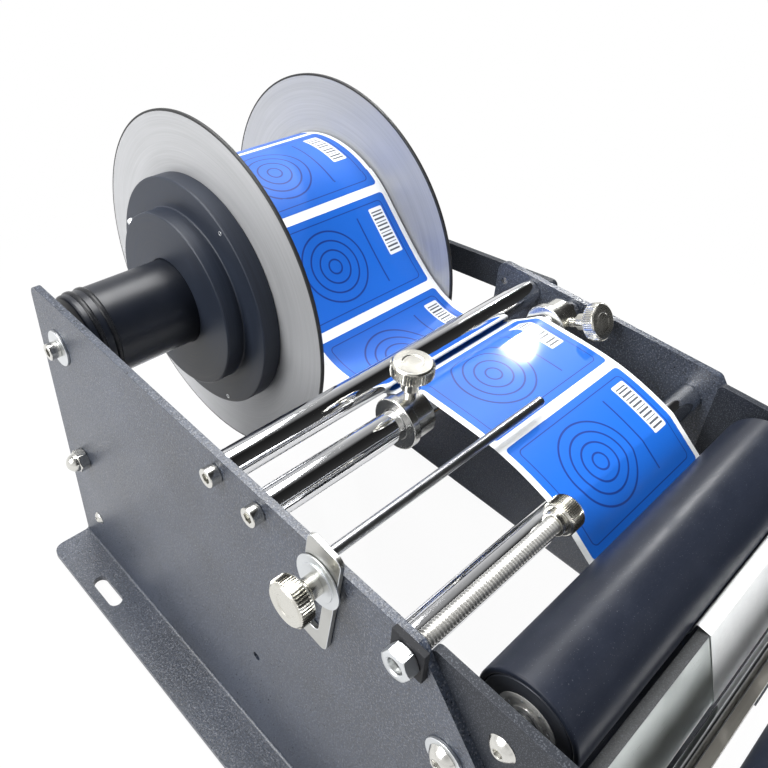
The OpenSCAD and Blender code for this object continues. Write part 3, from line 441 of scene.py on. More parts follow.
@dataclass(frozen=True)
class PrintedFilm:
    """Glossy printed label: rings, a short rule and a pale panel with grey bars."""
    name: str = "printed_film"
    color: Color = srgb(2, 88, 184)
    ink: Color = srgb(3, 44, 122)
    panel: Color = srgb(214, 217, 222)
    bars: Color = srgb(66, 70, 78)
    width: float = 97.0
    length: float = 65.0
    pitch: float = 71.0
    start: float = 17.5
    margin: float = 3.5
    border: float = 4.5
    ring_x: float = 38.0
    ring_step: float = 6.0
    rings_r: float = 23.5
    rule_x: float = 69.0
    rule_half: float = 22.0
    panel_box: tuple[float, float, float, float] = (80.0, 91.0, 8.0, 40.0)
    bar_start: float = 9.5
    bar_step: float = 2.4

    @staticmethod
    def _panel(across: Signal, along: Signal, box: tuple[float, float, float, float], round_r: float) -> Signal:
        """Distance to a rounded rectangle, below zero inside.

        Args:
            across: Place across the label.
            along: Place along the label.
            box: Lowest and highest place across, then along.
            round_r: Radius of its corners.

        Returns:
            The distance in millimetres.
        """
        over_x = abs(across - (box[0] + box[1]) / 2) - ((box[1] - box[0]) / 2 - round_r)
        over_y = abs(along - (box[2] + box[3]) / 2) - ((box[3] - box[2]) / 2 - round_r)
        far_x, far_y = over_x.most(0.0), over_y.most(0.0)
        return (far_x * far_x + far_y * far_y).root() + over_x.most(over_y).least(0.0) - round_r

    def material(self) -> Material:
        """Print by the label's own coordinates, under a clear gloss.

        Returns:
            The material.
        """
        graph = ShaderGraph(self.name)
        across, along = graph.uv_mm()
        across = across - self.margin
        along = (along - self.start).repeat(self.pitch)
        mottle = graph.noise(graph.place_mm(), 0.8, 2.0)
        base = graph.blend(mottle, shade(self.color, 0.95), shade(self.color, 1.05))
        frame_box = (self.border, self.width - self.border, self.border, self.length - self.border)
        frame_line = abs(self._panel(across, along, frame_box, 3.0)) - 0.3
        off_x, off_y = across - self.ring_x, along - self.length / 2
        ring = (off_x * off_x + off_y * off_y).root()
        rings = abs((ring - self.ring_step / 4).repeat(self.ring_step) - self.ring_step / 2) - 0.55
        rings = rings.most(ring - self.rings_r)
        rule = (abs(across - self.rule_x) - 0.5).most(abs(off_y) - self.rule_half)
        base = graph.blend(frame_line.least(rings).least(rule).inside(0.12), base, self.ink)
        sheet = self._panel(across, along, self.panel_box, 1.0)
        base = graph.blend(sheet.inside(0.1), base, self.panel)
        bars = abs((along - self.bar_start).repeat(self.bar_step) - self.bar_step / 2) - 0.5
        bars = (bars - (along * 1.7).wave() * 0.25).most(sheet + 1.2)
        base = graph.blend(bars.inside(0.1), base, self.bars)
        ripple = graph.noise(graph.place_mm(), 9.0, 2.0)
        return graph.surface({"Base Color": base, "Roughness": 0.55 + (mottle - 0.5) * 0.1, "Specular IOR Level": 0.5,
                              "Coat Weight": 0.3, "Coat Roughness": 0.07,
                              "Normal": graph.bump(ripple, 0.05, 0.6)})


@dataclass(frozen=True)
class Paper:
    """Smooth siliconised backing paper."""
    name: str = "backing_paper"
    color: Color = srgb(236, 238, 238)
    roughness: float = 0.42
    fibre: float = 0.5
    depth: float = 0.01

    def material(self) -> Material:
        """Short fibres and cloudy patches.

        Returns:
            The material.
        """
        graph = ShaderGraph(self.name)
        place = graph.place_mm()
        fibre = graph.noise(place, (self.fibre * 6, self.fibre, self.fibre), 3.0, 0.65)
        cloud = graph.noise(place, 7.0, 3.0, 0.6)
        base = graph.blend(0.3 + (fibre - 0.5) * 0.8 + (cloud - 0.5) * 0.8, self.color, shade(self.color, 0.82))
        return graph.surface({"Base Color": base, "Roughness": self.roughness + (fibre - 0.5) * 0.2,
                              "Normal": graph.bump(fibre, self.depth)})


@dataclass(frozen=True)
class WoundEdge:
    """Side of a wound roll: thin layers of paper and film."""
    name: str = "wound_edge"
    center: Point = (0.0, 0.0)
    layer: float = 0.55
    paper: Color = srgb(226, 228, 230)
    film: Color = srgb(120, 160, 220)

    def material(self) -> Material:
        """Rings of two tones, a little uneven round the roll.

        Returns:
            The material.
        """
        graph = ShaderGraph(self.name)
        _, radius, angle = graph.around(self.center)
        sway = graph.noise(graph.joined(radius / 9, angle.wave() * 2, 0.0), 1.0, 2.0)
        lines = ((radius + sway * 0.8) * (2 * math.pi / self.layer)).wave()
        layers = graph.noise(graph.joined(radius / 0.7, angle * 0.4, 0.0), 1.0, 2.0)
        base = graph.blend(0.4 + lines * 0.25 + (layers - 0.5) * 1.2, self.paper, self.film)
        return graph.surface({"Base Color": base, "Roughness": 0.62 + (layers - 0.5) * 0.2,
                              "Normal": graph.bump(layers, 0.08, 0.8)})


Finish = Union[PowderCoat, BrightMetal, Turned, Rubber, PrintedFilm, Paper, WoundEdge]


@dataclass
class Palette:
    """Makes each finish's material once."""
    made: dict[Finish, Material] = field(default_factory=dict)

    def of(self, finish: Finish) -> Material:
        """The material of a finish.

        Args:
            finish: The finish.

        Returns:
            Its material, made at its first use.
        """
        if finish not in self.made:
            self.made[finish] = finish.material()
        return self.made[finish]


class Outline(Enum):
    """Outline of one ring of a turned shape."""
    ROUND = "round"
    HEX = "hex"


@dataclass(frozen=True)
class Ring:
    """One ring of a turned shape, in millimetres along and away from the axis."""
    along: float
    radius: float
    outline: Outline = Outline.ROUND
    across: float = 0.0

    def reach(self, angle: float) -> float:
        """Radius in one direction.

        Args:
            angle: The direction round the axis.

        Returns:
            The radius in millimetres.
        """
        if self.outline is Outline.HEX:
            turn = (angle + math.pi / 6) % (math.pi / 3) - math.pi / 6
            return min(self.radius, self.across / 2 / math.cos(turn))
        return self.radius


def eased(points: Sequence[Point], radius: float = 0.3, closed: bool = True, steps: int = 3) -> list[Ring]:
    """Rings of an outline whose corners are rounded.

    Args:
        points: Corners, each along the axis and away from it.
        radius: Rounding of each corner, less where an edge is short.
        closed: True for a bored shape, whose outline comes back to its first corner.
        steps: Steps of each rounding.

    Returns:
        The rings in order, with one beside each rounding to keep flat faces flat.
    """
    corners = [Vector(point) for point in points]
    count = len(corners)
    rings: list[Vector] = []
    for index, corner in enumerate(corners):
        if not closed and index in (0, count - 1):
            rings.append(corner)
            continue
        back, ahead = corners[index - 1] - corner, corners[(index + 1) % count] - corner
        room = min(back.length, ahead.length)
        back, ahead = back.normalized(), ahead.normalized()
        half = math.acos(max(-1.0, min(1.0, back.dot(ahead)))) / 2
        if half > 1.5:
            rings.append(corner)
            continue
        cut = min(radius / math.tan(half), 0.4 * room)
        bend = cut * math.tan(half)
        hold = min(0.2, 0.08 * room)
        middle = corner + (back + ahead).normalized() * bend / math.sin(half)
        first, last = corner + back * cut - middle, corner + ahead * cut - middle
        start = math.atan2(first.y, first.x)
        sweep = (math.atan2(last.y, last.x) - start + math.pi) % (2 * math.pi) - math.pi
        rings.append(corner + back * (cut + hold))
        for step in range(steps + 1):
            angle = start + sweep * step / steps
            rings.append(middle + bend * Vector((math.cos(angle), math.sin(angle))))
        rings.append(corner + ahead * (cut + hold))
    return [Ring(point.x, max(point.y, 0.0)) for point in rings]


def turned(rings: Sequence[Ring], segments: int = 96, closed: bool = True) -> Shape:
    """A turned shape round local Z.

    Args:
        rings: Its rings in order; one of no radius is a pole.
        segments: Steps round the axis.
        closed: True joins the last ring to the first; an open shape starts and ends at a pole.

    Returns:
        The closed shape, faces outwards.
    """
    shape = bmesh.new()
    rows = []
    for ring in rings:
        if ring.radius < 1e-6:
            rows.append([shape.verts.new((0, 0, ring.along))])
            continue
        rows.append([])
        for step in range(segments):
            angle = 2 * math.pi * step / segments
            reach = ring.reach(angle)
            rows[-1].append(shape.verts.new((reach * math.cos(angle), reach * math.sin(angle), ring.along)))
    pairs = list(zip(rows, rows[1:])) + ([(rows[-1], rows[0])] if closed else [])
    for low, high in pairs:
        for step in range(segments):
            after = (step + 1) % segments
            corners = [low[step % len(low)], low[after % len(low)], high[after % len(high)], high[step % len(high)]]
            corners = list(dict.fromkeys(corners))
            if len(corners) > 2:
                shape.faces.new(corners)
    bmesh.ops.recalc_face_normals(shape, faces=shape.faces)
    return shape


def plain_rod(radius: float, length: float, edge: float, segments: int, steps: int = 3) -> Shape:
    """A rod along local Z with rounded ends.

    Args:
        radius: Its radius.
        length: Its length.
        edge: Rounding of its ends.
        segments: Steps round the axis.
        steps: Steps of each rounding.

    Returns:
        The rod.
    """
    return turned(eased([(0, 0), (0, radius), (length, radius), (length, 0)], edge, False, steps), segments, False)


def plain_tube(bore: float, radius: float, length: float, edge: float, segments: int,
               steps: int = 3) -> Shape:
    """A tube along local Z with rounded ends.

    Args:
        bore: Its inner radius.
        radius: Its outer radius.
        length: Its length.
        edge: Rounding of its ends.
        segments: Steps round the axis.
        steps: Steps of each rounding.

    Returns:
        The tube.
    """
    return turned(eased([(0, bore), (0, radius), (length, radius), (length, bore)], edge, True, steps), segments)


def hex_corner(across: float) -> float:
    """Radius to the corners of a hexagon of that width across its flats."""
    return across / 2 / math.cos(math.pi / 6)


def seat_x(place: Vector, sign: int = 1) -> Matrix:
    """Puts local Z along +X or -X at a place given in millimetres."""
    turn = Matrix.Rotation(sign * math.pi / 2, 4, "Y")
    return Matrix.Translation(place * MM) @ turn @ Matrix.Scale(MM, 4)


def seat_to(place: Vector, direction: Vector) -> Matrix:
    """Puts local Z along a direction at a place given in millimetres."""
    turn = Vector((0, 0, 1)).rotation_difference(direction).to_matrix().to_4x4()
    return Matrix.Translation(place * MM) @ turn @ Matrix.Scale(MM, 4)


@dataclass(frozen=True)
class Extent:
    """A box in millimetres."""
    low: Vector
    high: Vector

    @classmethod
    def of(cls, node: str) -> "Extent":
        """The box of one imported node."""
        low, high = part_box(node)
        return cls(low / MM, high / MM)

    @property
    def axis(self) -> Point:
        """Y and Z of the middle."""
        return ((self.low.y + self.high.y) / 2, (self.low.z + self.high.z) / 2)

    @property
    def length(self) -> float:
        """Length along X."""
        return self.high.x - self.low.x

    @property
    def radius(self) -> float:
        """Half the height: the radius of a round solid along X."""
        return (self.high.z - self.low.z) / 2

    @property
    def seat(self) -> Matrix:
        """Puts local Z along +X at the low end of the box's axis."""
        return seat_x(self.at(self.low.x))

    def at(self, x: float) -> Vector:
        """The point on the box's own axis at x."""
        return Vector((x, *self.axis))


def solids(node: str) -> list[tuple[Extent, bool]]:
    """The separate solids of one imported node.

    Args:
        node: The node's name.

    Returns:
        Each solid's box in millimetres, and True where its widest part is at its low end along X.
    """
    mesh = bmesh.new()
    mesh.from_mesh(frame["nodes"][node].data)
    bmesh.ops.remove_doubles(mesh, verts=mesh.verts, dist=1e-6)
    left, found = set(mesh.verts), []
    while left:
        todo, part = [next(iter(left))], []
        left.discard(todo[0])
        while todo:
            vert = todo.pop()
            part.append(vert.co / MM)
            for edge in vert.link_edges:
                other = edge.other_vert(vert)
                if other in left:
                    left.discard(other)
                    todo.append(other)
        box = Extent(Vector(min(p[i] for p in part) for i in range(3)),
                     Vector(max(p[i] for p in part) for i in range(3)))
        wide = max(part, key=lambda p: (round(math.hypot(p.y - box.axis[0], p.z - box.axis[1]), 1), -p.x))
        found.append((box, wide.x < (box.low.x + box.high.x) / 2))
    mesh.free()
    return sorted(found, key=lambda item: tuple(item[0].low))


def plain_mesh(holder: Object) -> bpy.types.Mesh:
    """The mesh that a loose object's modifiers make; the object and its own mesh are dropped.

    Args:
        holder: The object, which is not in the scene yet.

    Returns:
        The mesh.
    """
    source = holder.data
    bpy.context.scene.collection.objects.link(holder)
    bpy.context.view_layer.update()
    graph = bpy.context.evaluated_depsgraph_get()
    plain = bpy.data.meshes.new_from_object(holder.evaluated_get(graph))
    holder.modifiers.clear()
    bpy.data.objects.remove(holder)
    bpy.data.meshes.remove(source)
    return plain


class GeometryTree(Graph):
    """One Geometry Nodes tree with named inputs."""

    def __init__(self, name: str, inputs: dict[str, str]) -> None:
        """Makes the tree.

        Args:
            name: The tree's name.
            inputs: Socket type of each named input.
        """
        tree = bpy.data.node_groups.new(name, "GeometryNodeTree")
        super().__init__(tree)
        self.ids: dict[str, str] = {}
        for label, kind in inputs.items():
            self.ids[label] = tree.interface.new_socket(name=label, in_out="INPUT", socket_type=kind).identifier
        tree.interface.new_socket(name="Shape", in_out="OUTPUT", socket_type="NodeSocketGeometry")
        self.given = self.node("NodeGroupInput").outputs

    def end(self, shape: Socket) -> None:
        """Ends the tree in real geometry with its material.

        Args:
            shape: The geometry that the tree has made.
        """
        real = self.node("GeometryNodeRealizeInstances", None, {0: shape}).outputs[0]
        coated = self.node("GeometryNodeSetMaterial", None, {"Geometry": real, "Material": self.given["Finish"]})
        self.node("NodeGroupOutput", None, {0: coated.outputs[0]})

    def grow(self, values: dict[str, object], places: Sequence[Vector] = ()) -> Shape:
        """Runs the tree once.

        Args:
            values: Value of each named input.
            places: Points that the tree starts from, where it takes any.

        Returns:
            The result as a plain shape.
        """
        seed = bpy.data.meshes.new("seed")
        seed.from_pydata([tuple(place) for place in places], [], [])
        holder = bpy.data.objects.new("holder", seed)
        modifier = holder.modifiers.new("tree", "NODES")
        modifier.node_group = self.tree
        for label, value in values.items():
            modifier[self.ids[label]] = value
        plain = plain_mesh(holder)
        shape = bmesh.new()
        shape.from_mesh(plain)
        bpy.data.meshes.remove(plain)
        return shape


class RingOfUnits(GeometryTree):
    """Copies of one shape round local Z, such as knurl teeth and bearing balls."""

    def __init__(self) -> None:
        """Builds the tree."""
        super().__init__("ring_of_units", {"Count": "NodeSocketInt", "Radius": "NodeSocketFloat",
                                           "Unit": "NodeSocketObject", "Finish": "NodeSocketMaterial"})
        circle = self.node("GeometryNodeMeshCircle", None,
                           {"Vertices": self.given["Count"], "Radius": self.given["Radius"]})
        index = Signal(self, self.node("GeometryNodeInputIndex").outputs[0])
        turn = index * (2 * math.pi) / Signal(self, self.given["Count"])
        unit = self.node("GeometryNodeObjectInfo", None, {"Object": self.given["Unit"]})
        self.end(self.node("GeometryNodeInstanceOnPoints", None,
                           {"Points": circle.outputs[0], "Instance": unit.outputs["Geometry"],
                            "Rotation": self.joined(0.0, 0.0, turn)}).outputs[0])


class UnitsAtPlaces(GeometryTree):
    """Copies of one shape at given points, all turned alike, such as screws."""

    def __init__(self) -> None:
        """Builds the tree."""
        super().__init__("units_at_places", {"Places": "NodeSocketGeometry", "Turn": "NodeSocketVector",
                                             "Unit": "NodeSocketObject", "Finish": "NodeSocketMaterial"})
        unit = self.node("GeometryNodeObjectInfo", None, {"Object": self.given["Unit"]})
        self.end(self.node("GeometryNodeInstanceOnPoints", None,
                           {"Points": self.given["Places"], "Instance": unit.outputs["Geometry"],
                            "Rotation": self.given["Turn"]}).outputs[0])


class ThreadedRod(GeometryTree):
    """A rod along local Z with a screw thread."""
    SIDES = 32
    STEPS_A_TURN = 12

    def __init__(self) -> None:
        """Builds the tree."""
        super().__init__("threaded_rod", {"Radius": "NodeSocketFloat", "Pitch": "NodeSocketFloat",
                                          "Length": "NodeSocketFloat", "Depth": "NodeSocketFloat",
                                          "Finish": "NodeSocketMaterial"})
        radius, pitch, length, depth = (Signal(self, self.given[name])
                                        for name in ("Radius", "Pitch", "Length", "Depth"))
        rod = self.node("GeometryNodeMeshCylinder", None,
                        {"Vertices": self.SIDES, "Side Segments": length / pitch * self.STEPS_A_TURN,
                         "Radius": radius, "Depth": length})
        x, y, z = self.split(self.node("GeometryNodeInputPosition").outputs[0])
        groove = (z / pitch * (2 * math.pi) - y.angle(x)).wave() * 0.5 + 0.5
        ends = ((length / 2 - abs(z)) / pitch).between(0.0, 1.0)
        scale = 1 - depth * (1 - (1 - groove) * ends) / radius
        self.end(self.node("GeometryNodeSetPosition", None,
                           {"Geometry": rod.outputs["Mesh"],
                            "Position": self.joined(x * scale, y * scale, z + length / 2)}).outputs[0])


@dataclass
class Part:
    """One shape of a piece, with its finish and its seat."""
    shape: Shape
    finish: Finish
    seat: Matrix


class Workshop:
    """Turns shapes into named pieces that ride on the model's bodies."""

    def __init__(self) -> None:
        """Makes the palette and the Geometry Nodes trees."""
        self.palette = Palette()
        self.ring = RingOfUnits()
        self.places = UnitsAtPlaces()
        self.thread = ThreadedRod()

    def seated(self, piece: Object, body: str, nodes: Sequence[str]) -> Object:
        """Gives a piece its body and the nodes that it stands for.

        Args:
            piece: The piece's new object.
            body: The body that it rides on.
            nodes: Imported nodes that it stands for.

        Returns:
            The piece.
        """
        bpy.context.scene.collection.objects.link(piece)
        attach(piece, body)
        if nodes:
            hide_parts(*nodes)
        LOG.info("%s: %d faces on %s", piece.name, len(piece.data.polygons), body)
        return piece

    def piece(self, name: str, parts: Sequence[Part], body: str, slot: str, *nodes: str) -> Object:
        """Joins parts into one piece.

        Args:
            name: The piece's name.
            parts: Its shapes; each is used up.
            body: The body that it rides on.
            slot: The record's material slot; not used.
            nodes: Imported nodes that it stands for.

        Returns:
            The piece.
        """
        mesh = bpy.data.meshes.new(name)
        whole = bmesh.new()
        finishes: list[Finish] = []
        for part in parts:
            if part.finish not in finishes:
                finishes.append(part.finish)
                mesh.materials.append(self.palette.of(part.finish))
            part.shape.transform(part.seat)
            for face in part.shape.faces:
                face.material_index = finishes.index(part.finish)
                face.smooth = True
            scratch = bpy.data.meshes.new("scratch")
            part.shape.to_mesh(scratch)
            part.shape.free()
            whole.from_mesh(scratch)
            bpy.data.meshes.remove(scratch)
        whole.to_mesh(mesh)
        whole.free()
        mesh.set_sharp_from_angle(angle=math.radians(38))
        return self.seated(bpy.data.objects.new(name, mesh), body, nodes)

    def dressed(self, node: str, body: str, finish: Finish, edge: Finish, round_mm: float = 0.4,
                limit: float = 35.0, top: Optional[Finish] = None) -> Object:
        """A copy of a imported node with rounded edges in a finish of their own.

        Args:
            node: The node that is copied and replaced.
            body: The body that it rides on.
            finish: Finish of its faces.
            edge: Finish of its rounded edges.
            round_mm: Width of the rounding.
            limit: Smallest angle between faces that is rounded, in degrees.
            top: Finish of the faces that look up, where it differs.

        Returns:
            The piece.
        """
        source = frame["nodes"][node].data
        mesh = bpy.data.meshes.new(node + "_dressed")
        mesh.from_pydata([tuple(vert.co) for vert in source.vertices], [],
                         [tuple(face.vertices) for face in source.polygons])
        shape = bmesh.new()
        shape.from_mesh(mesh)
        bmesh.ops.remove_doubles(shape, verts=shape.verts, dist=2e-6)
        bmesh.ops.dissolve_limit(shape, angle_limit=math.radians(0.6), verts=shape.verts, edges=shape.edges)
        for face in shape.faces:
            face.smooth = True
        shape.to_mesh(mesh)
        shape.free()
        mesh.materials.append(self.palette.of(finish))
        mesh.materials.append(self.palette.of(edge))
        if top:
            mesh.materials.append(self.palette.of(top))
        holder = bpy.data.objects.new("holder", mesh)
        bevel = holder.modifiers.new("edge", "BEVEL")
        bevel.width, bevel.segments, bevel.material = round_mm * MM, 2, 1
        bevel.limit_method, bevel.angle_limit = "ANGLE", math.radians(limit)
        bevel.harden_normals, bevel.use_clamp_overlap = True, True
        plain = plain_mesh(holder)
        for face in plain.polygons:
            if top and face.normal.z > 0.7:
                face.material_index = 2
        return self.seated(bpy.data.objects.new(node + "_dressed", plain), body, [node])

    def copies(self, tree: GeometryTree, shape: Shape, finish: Finish, values: dict[str, object],
               places: Sequence[Vector] = ()) -> Shape:
        """Copies of a shape, made by a tree.

        Args:
            tree: The tree.
            shape: The shape, which is used up.
            finish: The copies' finish.
            values: Values of the tree's other inputs.
            places: Points that the tree starts from, where it takes any.

        Returns:
            The copies in millimetres.
        """
        mesh = bpy.data.meshes.new("unit")
        shape.to_mesh(mesh)
        shape.free()
        unit = bpy.data.objects.new("unit", mesh)
        grown = tree.grow({**values, "Unit": unit, "Finish": self.palette.of(finish)}, places)
        bpy.data.objects.remove(unit)
        bpy.data.meshes.remove(mesh)
        return grown

    def ring_of(self, shape: Shape, count: int, radius: float, finish: Finish) -> Shape:
        """Copies of a shape round local Z, in millimetres."""
        return self.copies(self.ring, shape, finish, {"Count": count, "Radius": radius})

    def screws(self, shape: Shape, places: Sequence[Vector], sign: int, finish: Finish) -> Shape:
        """Copies of a screw at places in millimetres, with their shanks along +X or -X."""
        return self.copies(self.places, shape, finish, {"Turn": (0.0, sign * math.pi / 2, 0.0)}, places)

    def threaded(self, radius: float, pitch: float, length: float, finish: Finish) -> Shape:
        """A threaded rod along local Z, in millimetres; its thread is half a pitch deep."""
        return self.thread.grow({"Radius": radius, "Pitch": pitch, "Length": length, "Depth": pitch * 0.5,
                                 "Finish": self.palette.of(finish)})


def tooth(height: float, width: float, depth: float) -> Shape:
    """One knurl tooth along local Z with its crest along local X.

    Args:
        height: Its length.
        width: Its width at the foot.
        depth: How far the crest stands out.

    Returns:
        The tooth, with slanted ends.
    """
    shape = bmesh.new()
    rows = []
    for along, crest in ((0.0, 0.0), (depth, depth), (height - depth, depth), (height, 0.0)):
        rows.append([shape.verts.new((-depth, -width / 2, along)), shape.verts.new((crest, 0.0, along)),
                     shape.verts.new((-depth, width / 2, along))])
    for low, high in zip(rows, rows[1:]):
        for step in range(3):
            after = (step + 1) % 3
            shape.faces.new((low[step], low[after], high[after], high[step]))
    shape.faces.new(rows[0])
    shape.faces.new(rows[-1])
    bmesh.ops.recalc_face_normals(shape, faces=shape.faces)
    return shape


SLIP = 0.05  # room in millimetres between a turning part and what it turns on
ZINC = BrightMetal("zinc_plate", srgb(216, 219, 221), 0.33, (1.2, 1.2, 1.2), 0.0015, 0.12)
NICKEL = BrightMetal("nickel_plate", srgb(214, 213, 208), 0.2, (0.9, 0.9, 0.9), 0.0012, 0.08)
CHROME = BrightMetal("chrome", srgb(232, 233, 235), 0.05, (40.0, 1.5, 1.5), 0.0003, 0.05)
STEEL = BrightMetal("bare_steel", srgb(176, 178, 181), 0.26, (0.3, 8.0, 8.0), 0.003, 0.1)
BRUSHED = BrightMetal("brushed_stainless", srgb(186, 192, 190), 0.3, (45.0, 0.35, 0.35), 0.006, 0.14)
SATIN = BrightMetal("satin_nickel", srgb(212, 210, 202), 0.21, (0.5, 0.5, 0.5), 0.0015, 0.08)
BRONZE = BrightMetal("sintered_bronze", srgb(176, 134, 74), 0.42, (0.5, 0.5, 0.5), 0.012, 0.16)
SLIDE = BrightMetal("zinc_sheet", srgb(190, 190, 186), 0.3, (3.0, 3.0, 12.0), 0.004, 0.14)
GROUND = BrightMetal("ground_rod", srgb(170, 172, 175), 0.28, (30.0, 2.0, 2.0), 0.0003, 0.06)
COAT = PowderCoat()
COAT_EDGE = PowderCoat("powder_coat_edge", srgb(28, 31, 37), 0.7, 0.04, 0.44, 0.5, 0.15)
BRACKET = PowderCoat("bracket_coat", srgb(34, 37, 43), 0.8, 0.06, 0.46, 0.3, 0.2)
BRACKET_EDGE = PowderCoat("bracket_coat_edge", srgb(44, 47, 53), 0.6, 0.03, 0.42, 0.3, 0.25)
BAR = BrightMetal("front_bar_steel", srgb(150, 147, 140), 0.36, (40.0, 0.5, 0.5), 0.005, 0.14)
THREAD = BrightMetal("thread_zinc", srgb(218, 217, 213), 0.28, (0.8, 0.8, 0.8), 0.001, 0.08, 0.8)
BEARING = BrightMetal("bearing_steel", srgb(246, 245, 240), 0.24, (0.8, 0.8, 0.8), 0.002, 0.08, 0.3)
# painted dark reflection: the peel plate's upward faces are coloured dark to stand in for the black roller they
# reflect
LIP = PowderCoat("peel_top_painted_reflection", srgb(66, 67, 68), 0.8, 0.03, 0.5, 0.25, 0.3)
SLEEVE = Rubber("roller_rubber", srgb(28, 32, 42), 0.34, 0.8, 0.012)
RING_RUBBER = Rubber("ring_rubber", srgb(26, 27, 30), 0.26, 0.6, 0.01)
PAD = Rubber("pad_rubber", srgb(34, 35, 38), 0.6, 0.9, 0.05)
GRIP = Rubber("grip_plastic", srgb(30, 31, 34), 0.3, 1.2, 0.02)
BOARD = Paper("cardboard", srgb(178, 142, 98), 0.8, 0.7, 0.05)
FILM = PrintedFilm()
LINER = Paper()


@dataclass
class SidePlates:
    """Two folded side plates, the roller brackets on them and the spindle's arm."""
    plate_round: float = 0.5
    bracket_round: float = 0.5

    def build(self, shop: Workshop) -> None:
        """Dresses the plates, brackets and the arm.

        Args:
            shop: The workshop.
        """
        for node in ("left_side_plate", "right_side_plate"):
            shop.dressed(node, "frame", COAT, COAT_EDGE, self.plate_round)
        for node in ("left_roller_bracket", "right_roller_bracket", "spindle_arm"):
            shop.dressed(node, "frame", BRACKET, BRACKET_EDGE, self.bracket_round)


@dataclass
class GuideRods:
    """Three chromed rods from plate to plate."""
    end_round: float = 0.8
    spigot_r: float = 4.0
    spigot_l: float = 4.0
    segments: int = 128

    def build(self, shop: Workshop) -> None:
        """Turns the rods.

        Args:
            shop: The workshop.
        """
        for node in ("rear_guide_rod", "middle_guide_rod"):
            box = Extent.of(node)
            rod = plain_rod(box.radius, box.length, self.end_round, self.segments)
            shop.piece(node + "_chromed", [Part(rod, CHROME, box.seat)], "frame", "chrome", node)
        box = Extent.of("front_guide_rod")
        far = box.length - self.spigot_l
        rings = eased([(0, 0), (0, self.spigot_r), (self.spigot_l, self.spigot_r), (self.spigot_l, box.radius),
                       (far, box.radius), (far, self.spigot_r), (box.length, self.spigot_r), (box.length, 0)],
                      self.end_round, False)
        shop.piece("front_guide_rod_chromed", [Part(turned(rings, self.segments, False), CHROME, box.seat)],
                   "frame", "chrome", "front_guide_rod")


def set_screw(radius: float, length: float, socket: float) -> Shape:
    """A headless screw along local Z with a hex socket at its start.

    Args:
        radius: Its radius.
        length: Its length.
        socket: Width across the socket.

    Returns:
        The screw.
    """
    reach = hex_corner(socket)
    rings = [Ring(socket, 0), Ring(socket * 0.9, reach, Outline.HEX, socket), Ring(0.1, reach, Outline.HEX, socket)]
    rings += eased([(0, reach + 0.1), (0, radius), (length, radius), (length, 0)], radius * 0.2, False)
    return turned(rings, 48, False)


